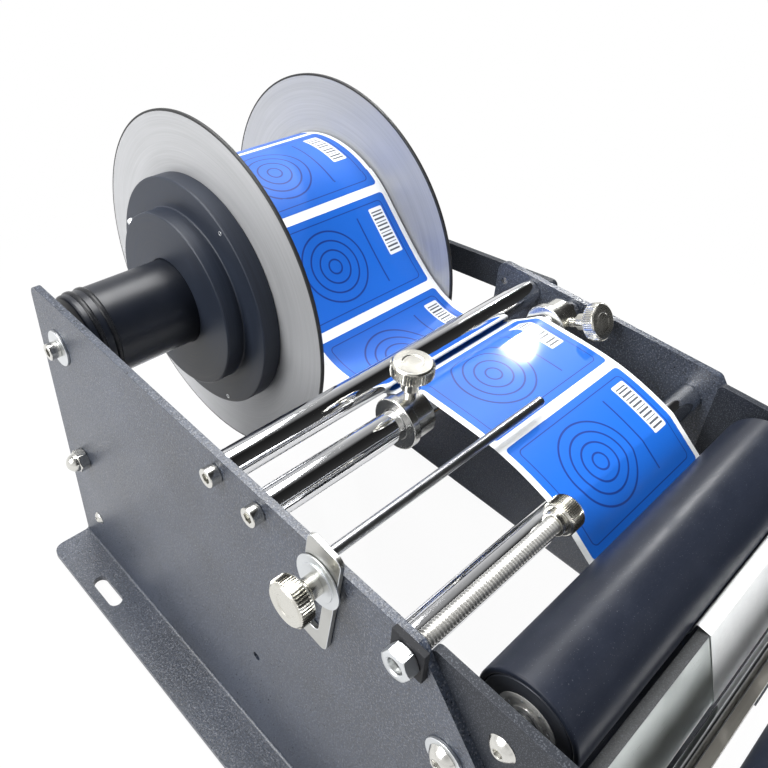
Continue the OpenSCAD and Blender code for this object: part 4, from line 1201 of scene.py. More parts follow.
@dataclass
class Spindle:
    """Tube on bearings, its axle, and two hubs with discs."""
    bore_r: float = 27.55
    boss_r: float = 37.7
    boss_l: float = 14.0
    big_r: float = 76.0
    big_l: float = 12.0
    small_r: float = 57.0
    disc_t: float = 2.0
    tube_r: float = 27.5
    tube_bore: float = 15.5
    seat_r: float = 17.5
    seat_l: float = 11.0
    axle_r: float = 7.5
    rim: float = 0.9
    screw_r: float = 1.5
    screw_socket: float = 1.5
    proud: float = 0.15
    peg_r: float = 2.5
    peg_socket: float = 2.5
    peg_out: float = 6.0
    peg_short: float = 0.5

    def hub(self, shop: Workshop, side: str, body: str, sign: int) -> None:
        """Turns one hub, its disc and its screws.

        Args:
            shop: The workshop.
            side: Left or right, as in the nodes' names.
            body: The body that the set rides on.
            sign: +1 where the steps face +X.
        """
        box = Extent.of(side + "_hub")
        axis = box.axis
        black = Turned(side + "_hub_black", srgb(34, 40, 52), axis, roughness=0.46, ring=0.55, streak=0.28, gloss=0.4)
        seat, step, end = self.boss_l + self.disc_t, self.boss_l + self.disc_t + self.big_l, box.length
        start = box.at(box.low.x if sign > 0 else box.high.x)
        rings = eased([(0, self.bore_r), (0, self.boss_r), (seat, self.boss_r), (seat, self.big_r), (step, self.big_r),
                       (step, self.small_r), (end, self.small_r), (end, self.bore_r)], self.rim, True, 4)
        shop.piece(side + "_hub_turned", [Part(turned(rings, segments=160), black, seat_x(start, sign))],
                   body, "black_plastic", side + "_hub")
        plate = Extent.of(side + "_disc")
        # the disc's outer edge gets a painted shade line through rim
        face = Turned(side + "_disc_spun", srgb(168, 169, 171), axis, metallic=0.3, roughness=0.46, ring=0.8,
                      depth=0.003, streak=0.1, rim=plate.radius)
        disc = plain_tube(self.boss_r, plate.radius, self.disc_t, edge=0.5, segments=256)
        shop.piece(side + "_disc_spun", [Part(disc, face, plate.seat)], body, "disc", side + "_disc")
        parts = []
        for spot, _ in solids(side + "_hub_screws"):
            middle = (spot.low + spot.high) / 2
            if spot.length > self.big_l:
                shape = set_screw(self.screw_r, spot.length, self.screw_socket)
                face_at = spot.at(spot.high.x if sign > 0 else spot.low.x)
                parts.append(Part(shape, ZINC, seat_x(face_at + Vector((sign * self.proud, 0, 0)), -sign)))
            else:
                way = Vector((0, middle.y - axis[0], middle.z - axis[1])).normalized()
                far = self.small_r + self.peg_out
                start = Vector((middle.x, *axis)) + way * far
                shape = set_screw(self.peg_r, far - self.tube_r - self.peg_short, self.peg_socket)
                parts.append(Part(shape, ZINC, seat_to(start, -way)))
        shop.piece(side + "_hub_set_screws", parts, body, "zinc", side + "_hub_screws")

    def build(self, shop: Workshop) -> None:
        """Turns the tube, bearings, rings, hubs and discs.

        Args:
            shop: The workshop.
        """
        self.hub(shop, "left", "left_flange", -1)
        self.hub(shop, "right", "spindle", 1)
        box = Extent.of("spindle_tube")
        black = Turned("tube_black", srgb(16, 20, 29), box.axis, roughness=0.36, ring=0.4, depth=0.008, streak=0.2,
                       gloss=0.4)
        ends = (self.seat_l, box.length - self.seat_l)
        rings = eased([(0, self.seat_r), (0, self.tube_r), (box.length, self.tube_r), (box.length, self.seat_r),
                       (ends[1], self.seat_r), (ends[1], self.tube_bore), (ends[0], self.tube_bore),
                       (ends[0], self.seat_r)], 1.6, True, 4)
        shop.piece("spindle_tube_turned", [Part(turned(rings, segments=128), black, box.seat)],
                   "spindle", "black_plastic", "spindle_tube")
        parts = []
        for ring, _ in solids("spindle_rings"):
            thick = ring.length
            shape = plain_tube(ring.radius - thick, ring.radius, thick, edge=thick * 0.45, segments=128, steps=6)
            parts.append(Part(shape, RING_RUBBER, ring.seat))
        shop.piece("spindle_rings_moulded", parts, "spindle", "rubber", "spindle_rings")
        BallBearing(self.axle_r + SLIP, self.seat_r).build(shop, "spindle_bearings", "spindle")
        axle = Extent.of("spindle_axle")
        rod = plain_rod(self.axle_r, axle.length, edge=0.6, segments=72)
        shop.piece("spindle_axle_turned", [Part(rod, STEEL, axle.seat)], "frame", "steel", "spindle_axle")


@dataclass(frozen=True)
class BallBearing:
    """A ball bearing: two races, sunk shields and their rivets."""
    bore: float
    outer: float
    race: float = 0.26
    sunk: float = 0.14
    rivets: int = 7

    def build(self, shop: Workshop, node: str, body: str) -> None:
        """Turns the bearings of one node.

        Args:
            shop: The workshop.
            node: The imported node.
            body: The body that they ride on.
        """
        wall = (self.outer - self.bore) * self.race
        inner_r, outer_r = self.bore + wall, self.outer - wall
        parts = []
        for box, _ in solids(node):
            wide, dip = box.length, box.length * self.sunk
            rings = eased([(0, self.bore), (0, inner_r), (dip, inner_r), (dip, outer_r), (0, outer_r),
                           (0, self.outer), (wide, self.outer), (wide, outer_r), (wide - dip, outer_r),
                           (wide - dip, inner_r), (wide, inner_r), (wide, self.bore)], 0.3, True, 2)
            parts.append(Part(turned(rings, segments=72), BEARING, box.seat))
            for sign, x in ((1, box.low.x + dip), (-1, box.high.x - dip)):
                rivet = turned(eased([(-0.35, 0), (-0.35, 0.5), (0.2, 0.7), (0.2, 0)], 0.2, False), 12, False)
                rivets = shop.ring_of(rivet, self.rivets, (self.bore + self.outer) / 2, ZINC)
                parts.append(Part(rivets, ZINC, seat_x(box.at(x), sign)))
        shop.piece(node + "_shielded", parts, body, "steel", node)


@dataclass
class LabelStock:
    """The roll of labels, the web that leaves it and the labels on both."""
    web_w: float = FILM.width + 2 * FILM.margin
    margin: float = FILM.margin
    label_l: float = FILM.length
    pitch: float = FILM.pitch
    start: float = FILM.start
    corner: float = 2.5
    core_t: float = 3.0
    edge_in: float = 0.06
    skin_in: float = 0.15
    skin_t: float = 0.2
    wrap: float = 350.0
    wrap_steps: int = 240
    roll_lift: float = 0.01
    liner_t: float = 0.2
    label_t: float = 0.15
    gap: float = 0.3
    leave: float = 135.0
    lead: float = 17.0
    sag_rear: float = 70.0
    sag_front: float = 75.0
    slack_gap: float = 1.8
    flat_out: float = 92.0
    flat_in: float = 112.0
    bow: float = 37.0
    over: float = 103.0
    lip_gap: float = 1.8
    lip_l: float = 5.3
    face_l: float = 12.9
    face_h: float = 34.0
    tail: float = 48.0
    peel_at: int = 0

    @staticmethod
    def polar(radius: float, degrees: float) -> Vector:
        """A step of a length in a direction, in Y and Z."""
        return Vector((radius * math.cos(math.radians(degrees)), radius * math.sin(math.radians(degrees))))

    def arc(self, center: Vector, radius: float, first: float, last: float, count: int) -> list[Vector]:
        """Points on an arc without the first."""
        return [center + self.polar(radius, first + (last - first) * step / count) for step in range(1, count + 1)]

    @staticmethod
    def cubic(first: Vector, second: Vector, third: Vector, fourth: Vector, count: int) -> list[Vector]:
        """Points on a cubic curve without the first.

        Args:
            first: Where it starts.
            second: Its first handle.
            third: Its second handle.
            fourth: Where it ends.
            count: Number of points.

        Returns:
            The points.
        """
        found = []
        for step in range(1, count + 1):
            part = step / count
            rest = 1 - part
            found.append(rest ** 3 * first + 3 * rest * rest * part * second + 3 * rest * part * part * third
                         + part ** 3 * fourth)
        return found

    @staticmethod
    def line(first: Vector, last: Vector, count: int) -> list[Vector]:
        """Points on a straight line without the first."""
        return [first + (last - first) * step / count for step in range(1, count + 1)]

    @staticmethod
    def crossing(first: Vector, first_r: float, second: Vector, second_r: float) -> float:
        """Direction of a web that leaves one circle outside and meets the next inside.

        Args:
            first: Middle of the first circle.
            first_r: Its radius.
            second: Middle of the second circle.
            second_r: Its radius.

        Returns:
            The direction in degrees.
        """
        way = second - first
        both = first_r + second_r
        angle = math.atan2(way.y, way.x) + math.atan2(both, math.sqrt(way.length ** 2 - both ** 2))
        return (360 + math.degrees(angle)) % 360

    def route(self) -> list[Vector]:
        """The web's middle line from the roll to its free end; notes at which point the labels leave it.

        Returns:
            Its points in Y and Z, in millimetres.
        """
        def middle(node: str) -> tuple[Vector, float]:
            """Axis and radius of a round node."""
            box = Extent.of(node)
            return Vector(box.axis), box.radius
        half = self.liner_t / 2
        spindle, roll_r = middle("label_roll")
        rod1, rod_r = middle("rear_guide_rod")
        rod2, rod3 = middle("middle_guide_rod")[0], middle("front_guide_rod")[0]
        roller, roller_r = middle("rear_roller_sleeve")
        pinch, pinch_r = middle("pinch_roller")
        peel = Extent.of("peel_plate")
        ridge = Vector((peel.high.y - self.lip_l, peel.high.z))
        low = ridge - Vector((self.face_l, self.face_h))
        on_roll, on_rod = roll_r + self.gap + half, rod_r + self.gap + half
        on_roller, on_edge = roller_r + self.gap + self.label_t + half, self.gap + half
        on_pinch = pinch_r + self.gap + half
        step = rod1 - rod2
        rise = (math.degrees(math.asin((on_rod + rod_r + self.slack_gap + half) / step.length))
                - math.degrees(math.atan2(step.y, step.x)))
        w0 = spindle + self.polar(on_roll, self.leave)
        w1 = rod2 + self.polar(on_rod, 90 - rise)
        w2, w3 = rod2 + self.polar(on_rod, self.flat_out), rod3 + self.polar(on_rod, self.flat_in)
        down = self.crossing(rod3, on_rod, roller, on_roller)
        turn_r = (self.lip_gap - on_edge) / 1.2
        face = math.degrees(math.atan2(-self.face_h, -self.face_l)) + 360
        nip = self.crossing(low, on_edge, pinch, on_pinch)
        w9 = pinch + Vector((on_pinch, 0))
        path = [spindle + self.polar(on_roll, self.leave - self.lead)]
        path += self.arc(spindle, on_roll, self.leave - self.lead, self.leave, 12)
        path += self.cubic(w0, w0 + self.polar(self.sag_rear, self.leave + 90),
                           w1 + self.polar(self.sag_front, -rise), w1, 72)
        path += self.arc(rod2, on_rod, 90 - rise, self.flat_out, 16)
        path += self.cubic(w2, w2 + self.polar(self.bow, self.flat_out + 90),
                           w3 - self.polar(self.bow, self.flat_in + 90), w3, 40)
        path += self.arc(rod3, on_rod, self.flat_in, down - 90, 8)
        path += self.line(rod3 + self.polar(on_rod, down - 90), roller + self.polar(on_roller, down + 90), 10)
        path += self.arc(roller, on_roller, down + 90, 180, 32)
        self.peel_at = len(path) - 1
        path += self.arc(roller - Vector((on_roller + turn_r, 0)), turn_r, 0, self.over, 12)
        path += [ridge + self.polar(on_edge, self.over)]
        path += self.arc(ridge, on_edge, self.over, face - 90, 8)
        path += self.line(path[-1], low + self.polar(on_edge, face - 90), 12)
        path += self.arc(low, on_edge, face - 90, nip - 90, 6)
        path += self.line(path[-1], pinch + self.polar(on_pinch, nip + 90 - 360), 10)
        path += self.arc(pinch, on_pinch, nip + 90 - 360, 0, 8)
        path += self.cubic(w9, w9 - Vector((0, self.tail * 0.4)), w9 - Vector((self.tail * 0.1, self.tail * 0.75)),
                           w9 - Vector((self.tail * 0.3, self.tail)), 16)
        return path

    @staticmethod
    def measured(path: Sequence[Vector]) -> list[float]:
        """Length along a path at each of its points.

        Args:
            path: The path's points.

        Returns:
            The lengths, from zero.
        """
        run = [0.0]
        for first, second in zip(path, path[1:]):
            run.append(run[-1] + (second - first).length)
        return run

    @staticmethod
    def sides(path: Sequence[Vector]) -> list[Vector]:
        """Direction of a path's printed side at each of its points.

        Args:
            path: The path's points.

        Returns:
            The directions, each of length 1.
        """
        found = []
        for index in range(len(path)):
            way = (path[min(index + 1, len(path) - 1)] - path[max(index - 1, 0)]).normalized()
            found.append(Vector((way.y, -way.x)))
        return found

    @staticmethod
    def strip(rows: Sequence[tuple[Vector, Vector, float, float, float]], x0: float) -> Shape:
        """A thin strip along a path, with flat coordinates.

        Args:
            rows: Each row's upper and lower point, its two places across and its length along.
            x0: Where the strip's first edge is along X.

        Returns:
            The closed strip in metres.
        """
        shape = bmesh.new()
        flat = shape.loops.layers.uv.new("flat")
        verts, marks = [], {}
        for upper, lower, first, last, along in rows:
            row = []
            for point, across in ((upper, first), (upper, last), (lower, last), (lower, first)):
                vert = shape.verts.new(Vector((x0 + across, point.x, point.y)) * MM)
                marks[vert] = (across * MM, along * MM)
                row.append(vert)
            verts.append(row)
        for one, two in zip(verts, verts[1:]):
            for step in range(4):
                after = (step + 1) % 4
                shape.faces.new((one[step], one[after], two[after], two[step]))
        shape.faces.new(verts[0])
        shape.faces.new(verts[-1])
        bmesh.ops.recalc_face_normals(shape, faces=shape.faces)
        for face in shape.faces:
            for loop in face.loops:
                loop[flat].uv = marks[loop.vert]
        return shape

    def label(self, path: Sequence[Vector], run: Sequence[float], side: Sequence[Vector], first: float, last: float,
              lift: float, x0: float) -> Shape:
        """One label with round corners on a path.

        Args:
            path: The path's points.
            run: Length along it at each point.
            side: Direction of its printed side at each point.
            first: Where the label starts along the path.
            last: Where it ends; corners are cut off where the path ends first.
            lift: Height of its underside over the path.
            x0: The web's first edge along X.

        Returns:
            The label in metres.
        """
        begin, stop = max(first, run[0] + 0.01), min(last, run[-1] - 0.01)
        marks = sorted({begin, stop, *(value for value in run if begin < value < stop),
                        *(value for step in range(7) for value in
                          (first + self.corner * (1 - math.cos(step * math.pi / 12)),
                           last - self.corner * (1 - math.cos(step * math.pi / 12))) if begin < value < stop)})
        rows, index = [], 0
        for mark in marks:
            while index < len(run) - 2 and run[index + 1] < mark:
                index += 1
            part = (mark - run[index]) / (run[index + 1] - run[index])
            point, way = path[index].lerp(path[index + 1], part), side[index].lerp(side[index + 1], part).normalized()
            near = max(0.0, self.corner - min(mark - first, last - mark))
            inset = self.corner - math.sqrt(max(self.corner ** 2 - near ** 2, 0.0))
            inset = min(inset + 0.02, self.corner) if near else 0.0
            rows.append((point + way * (lift + self.label_t), point + way * lift, self.margin + inset,
                         self.web_w - self.margin - inset, mark))
        return self.strip(rows, x0)

    def build(self, shop: Workshop) -> None:
        """Builds the roll, its core, the web and the labels.

        Args:
            shop: The workshop.
        """
        unit = Matrix.Identity(4)
        roll, core = Extent.of("label_roll"), Extent.of("roll_core")
        axis, radius, left = Vector(roll.axis), roll.radius, roll.low.x
        board = plain_tube(core.radius - self.core_t, core.radius, core.length, edge=0.3, segments=96)
        shop.piece("roll_core_board", [Part(board, BOARD, core.seat)], "spindle", "core", "roll_core")
        sides = plain_tube(core.radius, radius - self.edge_in, roll.length, edge=0.1, segments=192, steps=1)
        near, far, under = self.skin_in, roll.length - self.skin_in, radius - self.skin_t
        skin = turned([Ring(near, radius), Ring(far, radius), Ring(far, under), Ring(near, under)], segments=192)
        shop.piece("label_roll_wound", [Part(sides, WoundEdge("wound_edge", roll.axis), roll.seat),
                                        Part(skin, LINER, roll.seat)], "spindle", "label", "label_roll")
        begin = self.leave - self.lead - self.wrap
        wrap = [axis + self.polar(radius, begin + self.wrap * step / self.wrap_steps)
                for step in range(self.wrap_steps + 1)]
        length = math.radians(self.wrap) * radius
        run = [value - length for value in self.measured(wrap)]
        way = [(point - axis).normalized() for point in wrap]
        parts = []
        for count in range(-1, -8, -1):
            first = self.start + count * self.pitch
            if first + self.label_l > run[0] + self.corner:
                label = self.label(wrap, run, way, first, first + self.label_l, self.roll_lift, left)
                parts.append(Part(label, FILM, unit))
        shop.piece("roll_labels", parts, "spindle", "label")
        path = self.route()
        run, way = self.measured(path), self.sides(path)
        half = self.liner_t / 2
        rows = [(point + side * half, point - side * half, 0.0, self.web_w, mark)
                for point, side, mark in zip(path, way, run)]
        shop.piece("web_backing_paper", [Part(self.strip(rows, left), LINER, unit)], "frame", "liner", "web_liner")
        parts = []
        for count in range(-1, 8):
            first = self.start + count * self.pitch
            if first + self.label_l < run[self.peel_at]:
                label = self.label(path, run, way, first, first + self.label_l, half, left)
                parts.append(Part(label, FILM, unit))
        shop.piece("web_printed_labels", parts, "frame", "label", "web_labels")


@dataclass
class BottleRollers:
    """Two rubber covered rollers on fixed axles."""
    sleeve_t: float = 3.0
    seat_r: float = 13.0
    seat_l: float = 8.0
    bore_r: float = 11.0
    axle_r: float = 5.0
    axle_hole: float = 3.0
    spacer_r: float = 7.5
    longest_spacer: float = 100.0

    def build(self, shop: Workshop) -> None:
        """Turns both rollers with their sleeves, cores and bearings, and the axles.

        Args:
            shop: The workshop.
        """
        for side in ("rear", "front"):
            body = side + "_roller"
            box = Extent.of(body + "_sleeve")
            core_r = box.radius - self.sleeve_t
            sleeve = plain_tube(core_r, box.radius, box.length, edge=1.1, segments=160, steps=4)
            shop.piece(body + "_rubber", [Part(sleeve, SLEEVE, box.seat)], body, "rubber", body + "_sleeve")
            black = Turned(body + "_core_black", srgb(52, 55, 62), box.axis, metallic=0.4, roughness=0.36, ring=0.4,
                           depth=0.01, streak=0.2)
            inner = box.length - self.seat_l
            rings = eased([(0, self.seat_r), (0, core_r), (box.length, core_r), (box.length, self.seat_r),
                           (inner, self.seat_r), (inner, self.bore_r), (self.seat_l, self.bore_r),
                           (self.seat_l, self.seat_r)], 0.4)
            shop.piece(body + "_core_turned", [Part(turned(rings, segments=128), black, box.seat)],
                       body, "black_plastic", body + "_core")
            BallBearing(self.axle_r + SLIP, self.seat_r).build(shop, body + "_bearings", body)
        parts = []
        for box, _ in solids("roller_axles"):
            long = box.length > self.longest_spacer
            bore, radius = (self.axle_hole, self.axle_r) if long else (self.axle_r, self.spacer_r)
            shape = plain_tube(bore, radius, box.length, edge=0.5, segments=64)
            parts.append(Part(shape, STEEL if long else NICKEL, box.seat))
        shop.piece("roller_axles_turned", parts, "frame", "steel", "roller_axles")


@dataclass
class PeelStation:
    """Peel plate, the bars across the front, and the thin chromed rod with its collar."""
    rod_r: float = 3.0
    stop_r: float = 3.4
    stop_at: float = 40.0
    stop_l: float = 6.0
    stop_in: float = 0.2

    def build(self, shop: Workshop) -> None:
        """Dresses the sheet and the bars and turns the rod.

        Args:
            shop: The workshop.
        """
        # the upward faces get the painted dark reflection finish
        shop.dressed("peel_plate", "frame", BRUSHED, BRUSHED, round_mm=0.25, limit=20, top=LIP)
        shop.dressed("peel_support", "frame", STEEL, STEEL, round_mm=0.3)
        shop.dressed("front_bar", "frame", BAR, BAR, round_mm=0.4)
        box = Extent.of("liner_rod")
        rod = plain_rod(self.rod_r, box.length, edge=0.5, segments=64)
        stop = plain_tube(self.rod_r - self.stop_in, self.stop_r, self.stop_l, edge=0.5, segments=64)
        shop.piece("liner_rod_chromed", [Part(rod, CHROME, box.seat),
                                         Part(stop, NICKEL, seat_x(box.at(box.low.x + self.stop_at)))],
                   "frame", "chrome", "liner_rod")


@dataclass
class Drive:
    """Drive shaft with its rubber sleeve, bushings, pinch roller, crank and grip."""
    shaft_r: float = 6.0
    pinch_axle_r: float = 4.0
    bolt_r: float = 4.0
    bolt_head_r: float = 8.0
    bolt_head_l: float = 4.0
    socket: float = 5.0
    socket_r: float = 3.4
    socket_lip: float = 3.6
    socket_floor: float = 1.0
    grip_steps: int = 40

    def build(self, shop: Workshop) -> None:
        """Turns the round parts and dresses the crank's arm.

        Args:
            shop: The workshop.
        """
        box = Extent.of("drive_shaft")
        rod = plain_rod(self.shaft_r, box.length, edge=0.8, segments=72)
        shop.piece("drive_shaft_turned", [Part(rod, STEEL, box.seat)], "crank", "steel", "drive_shaft")
        box = Extent.of("drive_sleeve")
        sleeve = plain_tube(self.shaft_r, box.radius, box.length, edge=1.0, segments=128)
        shop.piece("drive_sleeve_rubber", [Part(sleeve, SLEEVE, box.seat)], "crank", "rubber", "drive_sleeve")
        box = Extent.of("pinch_roller")
        black = Turned("pinch_black", srgb(70, 73, 79), box.axis, metallic=0.2, roughness=0.42, ring=0.4, depth=0.01,
                       streak=0.2)
        roller = plain_tube(self.pinch_axle_r + SLIP, box.radius, box.length, edge=0.8, segments=96)
        shop.piece("pinch_roller_turned", [Part(roller, black, box.seat)], "pinch", "black_plastic", "pinch_roller")
        box = Extent.of("pinch_axle")
        rod = plain_rod(box.radius, box.length, edge=0.5, segments=48)
        shop.piece("pinch_axle_turned", [Part(rod, STEEL, box.seat)], "frame", "steel", "pinch_axle")
        shop.dressed("drive_bushings", "frame", BRONZE, BRONZE, round_mm=0.3)
        shop.dressed("crank_arm", "crank", BRACKET, BRACKET_EDGE, round_mm=0.6)
        box = Extent.of("grip_bolt")
        end, far = box.length, box.length - self.bolt_head_l
        floor = far + self.socket_floor
        rings = eased([(0, 0), (0, self.bolt_r), (far, self.bolt_r), (far, self.bolt_head_r)], 0.4, False)
        rings += eased([(far, self.bolt_head_r), (end, self.bolt_head_r), (end, self.socket_lip)], 0.6, False)[1:]
        rings += [Ring(end, self.socket_r, Outline.HEX, self.socket),
                  Ring(floor, self.socket_r, Outline.HEX, self.socket), Ring(floor, 0)]
        shop.piece("grip_bolt_turned", [Part(turned(rings, 72, False), ZINC, box.seat)], "crank", "zinc", "grip_bolt")
        box = Extent.of("crank_grip")
        bore, end_r = self.bolt_r + SLIP, box.radius * 0.7
        swell = [(box.length * (0.03 + 0.94 * step / self.grip_steps),
                  box.radius * (0.8 + 0.2 * math.sin(math.pi * step / self.grip_steps)))
                 for step in range(self.grip_steps + 1)]
        rings = eased([(0, bore), (0, end_r), *swell, (box.length, end_r), (box.length, bore)], 0.8)
        shop.piece("crank_grip_moulded", [Part(turned(rings, segments=96), GRIP, box.seat)],
                   "grip", "grip", "crank_grip")


def knurl(shop: Workshop, start: float, height: float, radius: float, depth: float, teeth: int) -> Shape:
    """The teeth round a knob along local Z.

    Args:
        shop: The workshop.
        start: Where the knob starts.
        height: Height of the knob.
        radius: Radius over the teeth.
        depth: How far they stand out.
        teeth: Number of teeth.

    Returns:
        The teeth, a little shorter than the knob.
    """
    inset = 0.7
    unit = tooth(height - 2 * inset, 2 * math.pi * radius / teeth, depth)
    ring = shop.ring_of(unit, teeth, radius - depth, SATIN)
    bmesh.ops.translate(ring, verts=ring.verts, vec=(0, 0, start + inset))
    return ring


@dataclass(frozen=True)
class ThumbScrew:
    """A knurled thumb screw along local Z."""
    knob_r: float = 11.0
    knob_h: float = 8.0
    neck_r: float = 5.0
    neck_l: float = 8.0
    screw_r: float = 3.0
    pitch: float = 1.0
    depth: float = 0.7
    teeth: int = 48

    def parts(self, shop: Workshop, tip: float, head: float, seat: Matrix) -> list[Part]:
        """Turns the screw.

        Args:
            shop: The workshop.
            tip: Where its shank starts.
            head: Where its knob starts.
            seat: Its seat.

        Returns:
            The turned screw, its teeth and its thread.
        """
        top, neck, foot_r = head + self.knob_h, head - self.neck_l, self.knob_r - self.depth
        waist, waist_r = head - self.neck_l * 0.35, self.neck_r * 0.86
        outline = [(neck, 0), (neck, self.neck_r), (waist, self.neck_r), (waist, waist_r), (head, waist_r),
                   (head, foot_r - 0.8), (head + 0.9, foot_r), (top - 0.9, foot_r), (top, foot_r - 0.8),
                   (top, self.knob_r * 0.5), (top - 0.35, self.knob_r * 0.46), (top - 0.35, 0)]
        screw = turned(eased(outline, 0.25, False), 96, False)
        teeth = knurl(shop, head, self.knob_h, self.knob_r, self.depth, self.teeth)
        thread = shop.threaded(self.screw_r, self.pitch, neck - tip, SATIN)
        bmesh.ops.translate(thread, verts=thread.verts, vec=(0, 0, tip))
        return [Part(shape, SATIN, seat) for shape in (screw, teeth, thread)]


@dataclass
class Guides:
    """Two collars on the middle rod, each held by a thumb screw."""
    bore_r: float = 8.05
    body_r: float = 12.5
    flange_r: float = 14.0
    flange_l: float = 5.0
    screw_at: float = 9.5
    lean: float = 60.0
    tip: float = 8.3
    knob_at: float = 27.0
    screw: ThumbScrew = ThumbScrew()

    def build(self, shop: Workshop) -> None:
        """Turns the collars and their screws.

        Args:
            shop: The workshop.
        """
        for side, lean in (("left", 0.0), ("right", self.lean)):
            box = Extent.of(side + "_collar")
            rings = eased([(0, self.bore_r), (0, self.flange_r), (self.flange_l, self.flange_r),
                           (self.flange_l, self.body_r), (box.length, self.body_r), (box.length, self.bore_r)],
                          0.7, True, 4)
            shop.piece(side + "_collar_turned", [Part(turned(rings, segments=128), NICKEL, box.seat)],
                       side + "_guide", "zinc", side + "_collar")
            angle = math.radians(lean)
            seat = seat_to(box.at(box.low.x + self.screw_at), Vector((0, -math.sin(angle), math.cos(angle))))
            shop.piece(side + "_collar_thumb_screw", self.screw.parts(shop, self.tip, self.knob_at, seat),
                       side + "_guide_screw", "zinc", side + "_collar_screw")


@dataclass
class Pointer:
    """Slotted slide with its rod, and the thumb screw that clamps it."""
    washer_r: float = 13.0
    washer_t: float = 1.5
    washer_rim: float = 0.55
    washer_boss: float = 0.72
    screw: ThumbScrew = ThumbScrew()

    def build(self, shop: Workshop) -> None:
        """Dresses the slide and turns the rod and the screw.

        Args:
            shop: The workshop.
        """
        shop.dressed("pointer_slide", "pointer", SLIDE, ZINC, round_mm=0.35)
        box = Extent.of("pointer_rod")
        rod = plain_rod(box.radius, box.length, edge=0.9, segments=64, steps=5)
        shop.piece("pointer_rod_ground", [Part(rod, GROUND, box.seat)], "pointer", "steel", "pointer_rod")
        box = Extent.of("pointer_screw")
        head = self.washer_t + self.screw.neck_l
        top = head + self.screw.knob_h
        seat = seat_x(box.at(box.low.x + top), -1)
        rim, boss_r = self.washer_t * self.washer_rim, self.washer_r * self.washer_boss
        washer = turned(eased([(0, self.screw.screw_r), (0, self.washer_r), (rim, self.washer_r), (rim, boss_r),
                               (self.washer_t, boss_r), (self.washer_t, self.screw.screw_r)], 0.2), segments=96)
        parts = self.screw.parts(shop, top - box.length, head, seat) + [Part(washer, ZINC, seat)]
        shop.piece("pointer_thumb_screw", parts, "pointer_clamp", "zinc", "pointer_screw")


@dataclass
class EdgeStop:
    """Threaded stud with a hex nut, a pad and a knurled stop nut."""
    stud_r: float = 4.0
    pitch: float = 1.75
    neck_l: float = 3.5
    neck_r: float = 5.75
    depth: float = 0.45
    teeth: int = 56
    across: float = 13.0
    bite: float = 0.2

    def build(self, shop: Workshop) -> None:
        """Turns the stud and both nuts and dresses the pad.

        Args:
            shop: The workshop.
        """
        box = Extent.of("edge_stud")
        stud = shop.threaded(self.stud_r, self.pitch, box.length, THREAD)
        shop.piece("edge_stud_threaded", [Part(stud, THREAD, box.seat)], "frame", "zinc", "edge_stud")
        box = Extent.of("stud_nut")
        nut = hex_nut(box.length, self.across, self.stud_r - self.bite)
        shop.piece("stud_nut_chamfered", [Part(nut, ZINC, box.seat)], "frame", "zinc", "stud_nut")
        shop.dressed("stud_pad", "frame", PAD, PAD, round_mm=0.5)
        box = Extent.of("edge_nut")
        bore, foot_r, start, end = self.stud_r + SLIP, box.radius - self.depth, self.neck_l, box.length
        rings = eased([(0, bore), (0, self.neck_r), (start, self.neck_r), (start, foot_r - 0.8), (start + 0.9, foot_r),
                       (end - 0.9, foot_r), (end, foot_r - 0.8), (end, bore)], 0.25)
        teeth = knurl(shop, start, end - start, box.radius, self.depth, self.teeth)
        shop.piece("edge_nut_knurled", [Part(turned(rings, segments=96), SATIN, box.seat),
                                        Part(teeth, SATIN, box.seat)], "edge_stop", "zinc", "edge_nut")


def hex_nut(height: float, across: float, bore: float) -> Shape:
    """A chamfered hex nut along local Z.

    Args:
        height: Its height.
        across: Width across its flats.
        bore: Radius of its hole.

    Returns:
        The nut.
    """
    corner, face_r, ease, steps = hex_corner(across), across / 2 * 0.94, 0.6, 4
    drop = (corner - face_r) * math.tan(math.radians(30))
    rings = [Ring(ease, bore), Ring(0, bore + ease), Ring(0, face_r)]
    for step in range(1, steps + 1):
        part = step / steps
        rings.append(Ring(drop * part, face_r + (corner - face_r) * part, Outline.HEX, across))
    for step in range(steps, -1, -1):
        part = step / steps
        rings.append(Ring(height - drop * part, face_r + (corner - face_r) * part, Outline.HEX, across))
    rings += [Ring(height, bore + ease), Ring(height - ease, bore)]
    return turned(rings, segments=96)


@dataclass(frozen=True)
class CapScrew:
    """A screw with a cylinder head and a hex socket: head below zero, shank above."""
    radius: float = 5.0
    height: float = 6.0
    socket: float = 5.0
    shank_r: float = 3.0
    shank_l: float = 8.0

    def shape(self) -> Shape:
        """Turns the screw.

        Returns:
            The screw along local Z.
        """
        top, reach = -self.height, hex_corner(self.socket)
        rings = [Ring(top * 0.45, 0), Ring(top * 0.5, reach, Outline.HEX, self.socket),
                 Ring(top + 0.25, reach, Outline.HEX, self.socket), Ring(top, reach + 0.25)]
        rings += eased([(top, reach + 0.3), (top, self.radius), (0, self.radius), (0, self.shank_r),
                        (self.shank_l, self.shank_r), (self.shank_l, 0)], 0.55, False, 4)
        return turned(rings, 72, False)


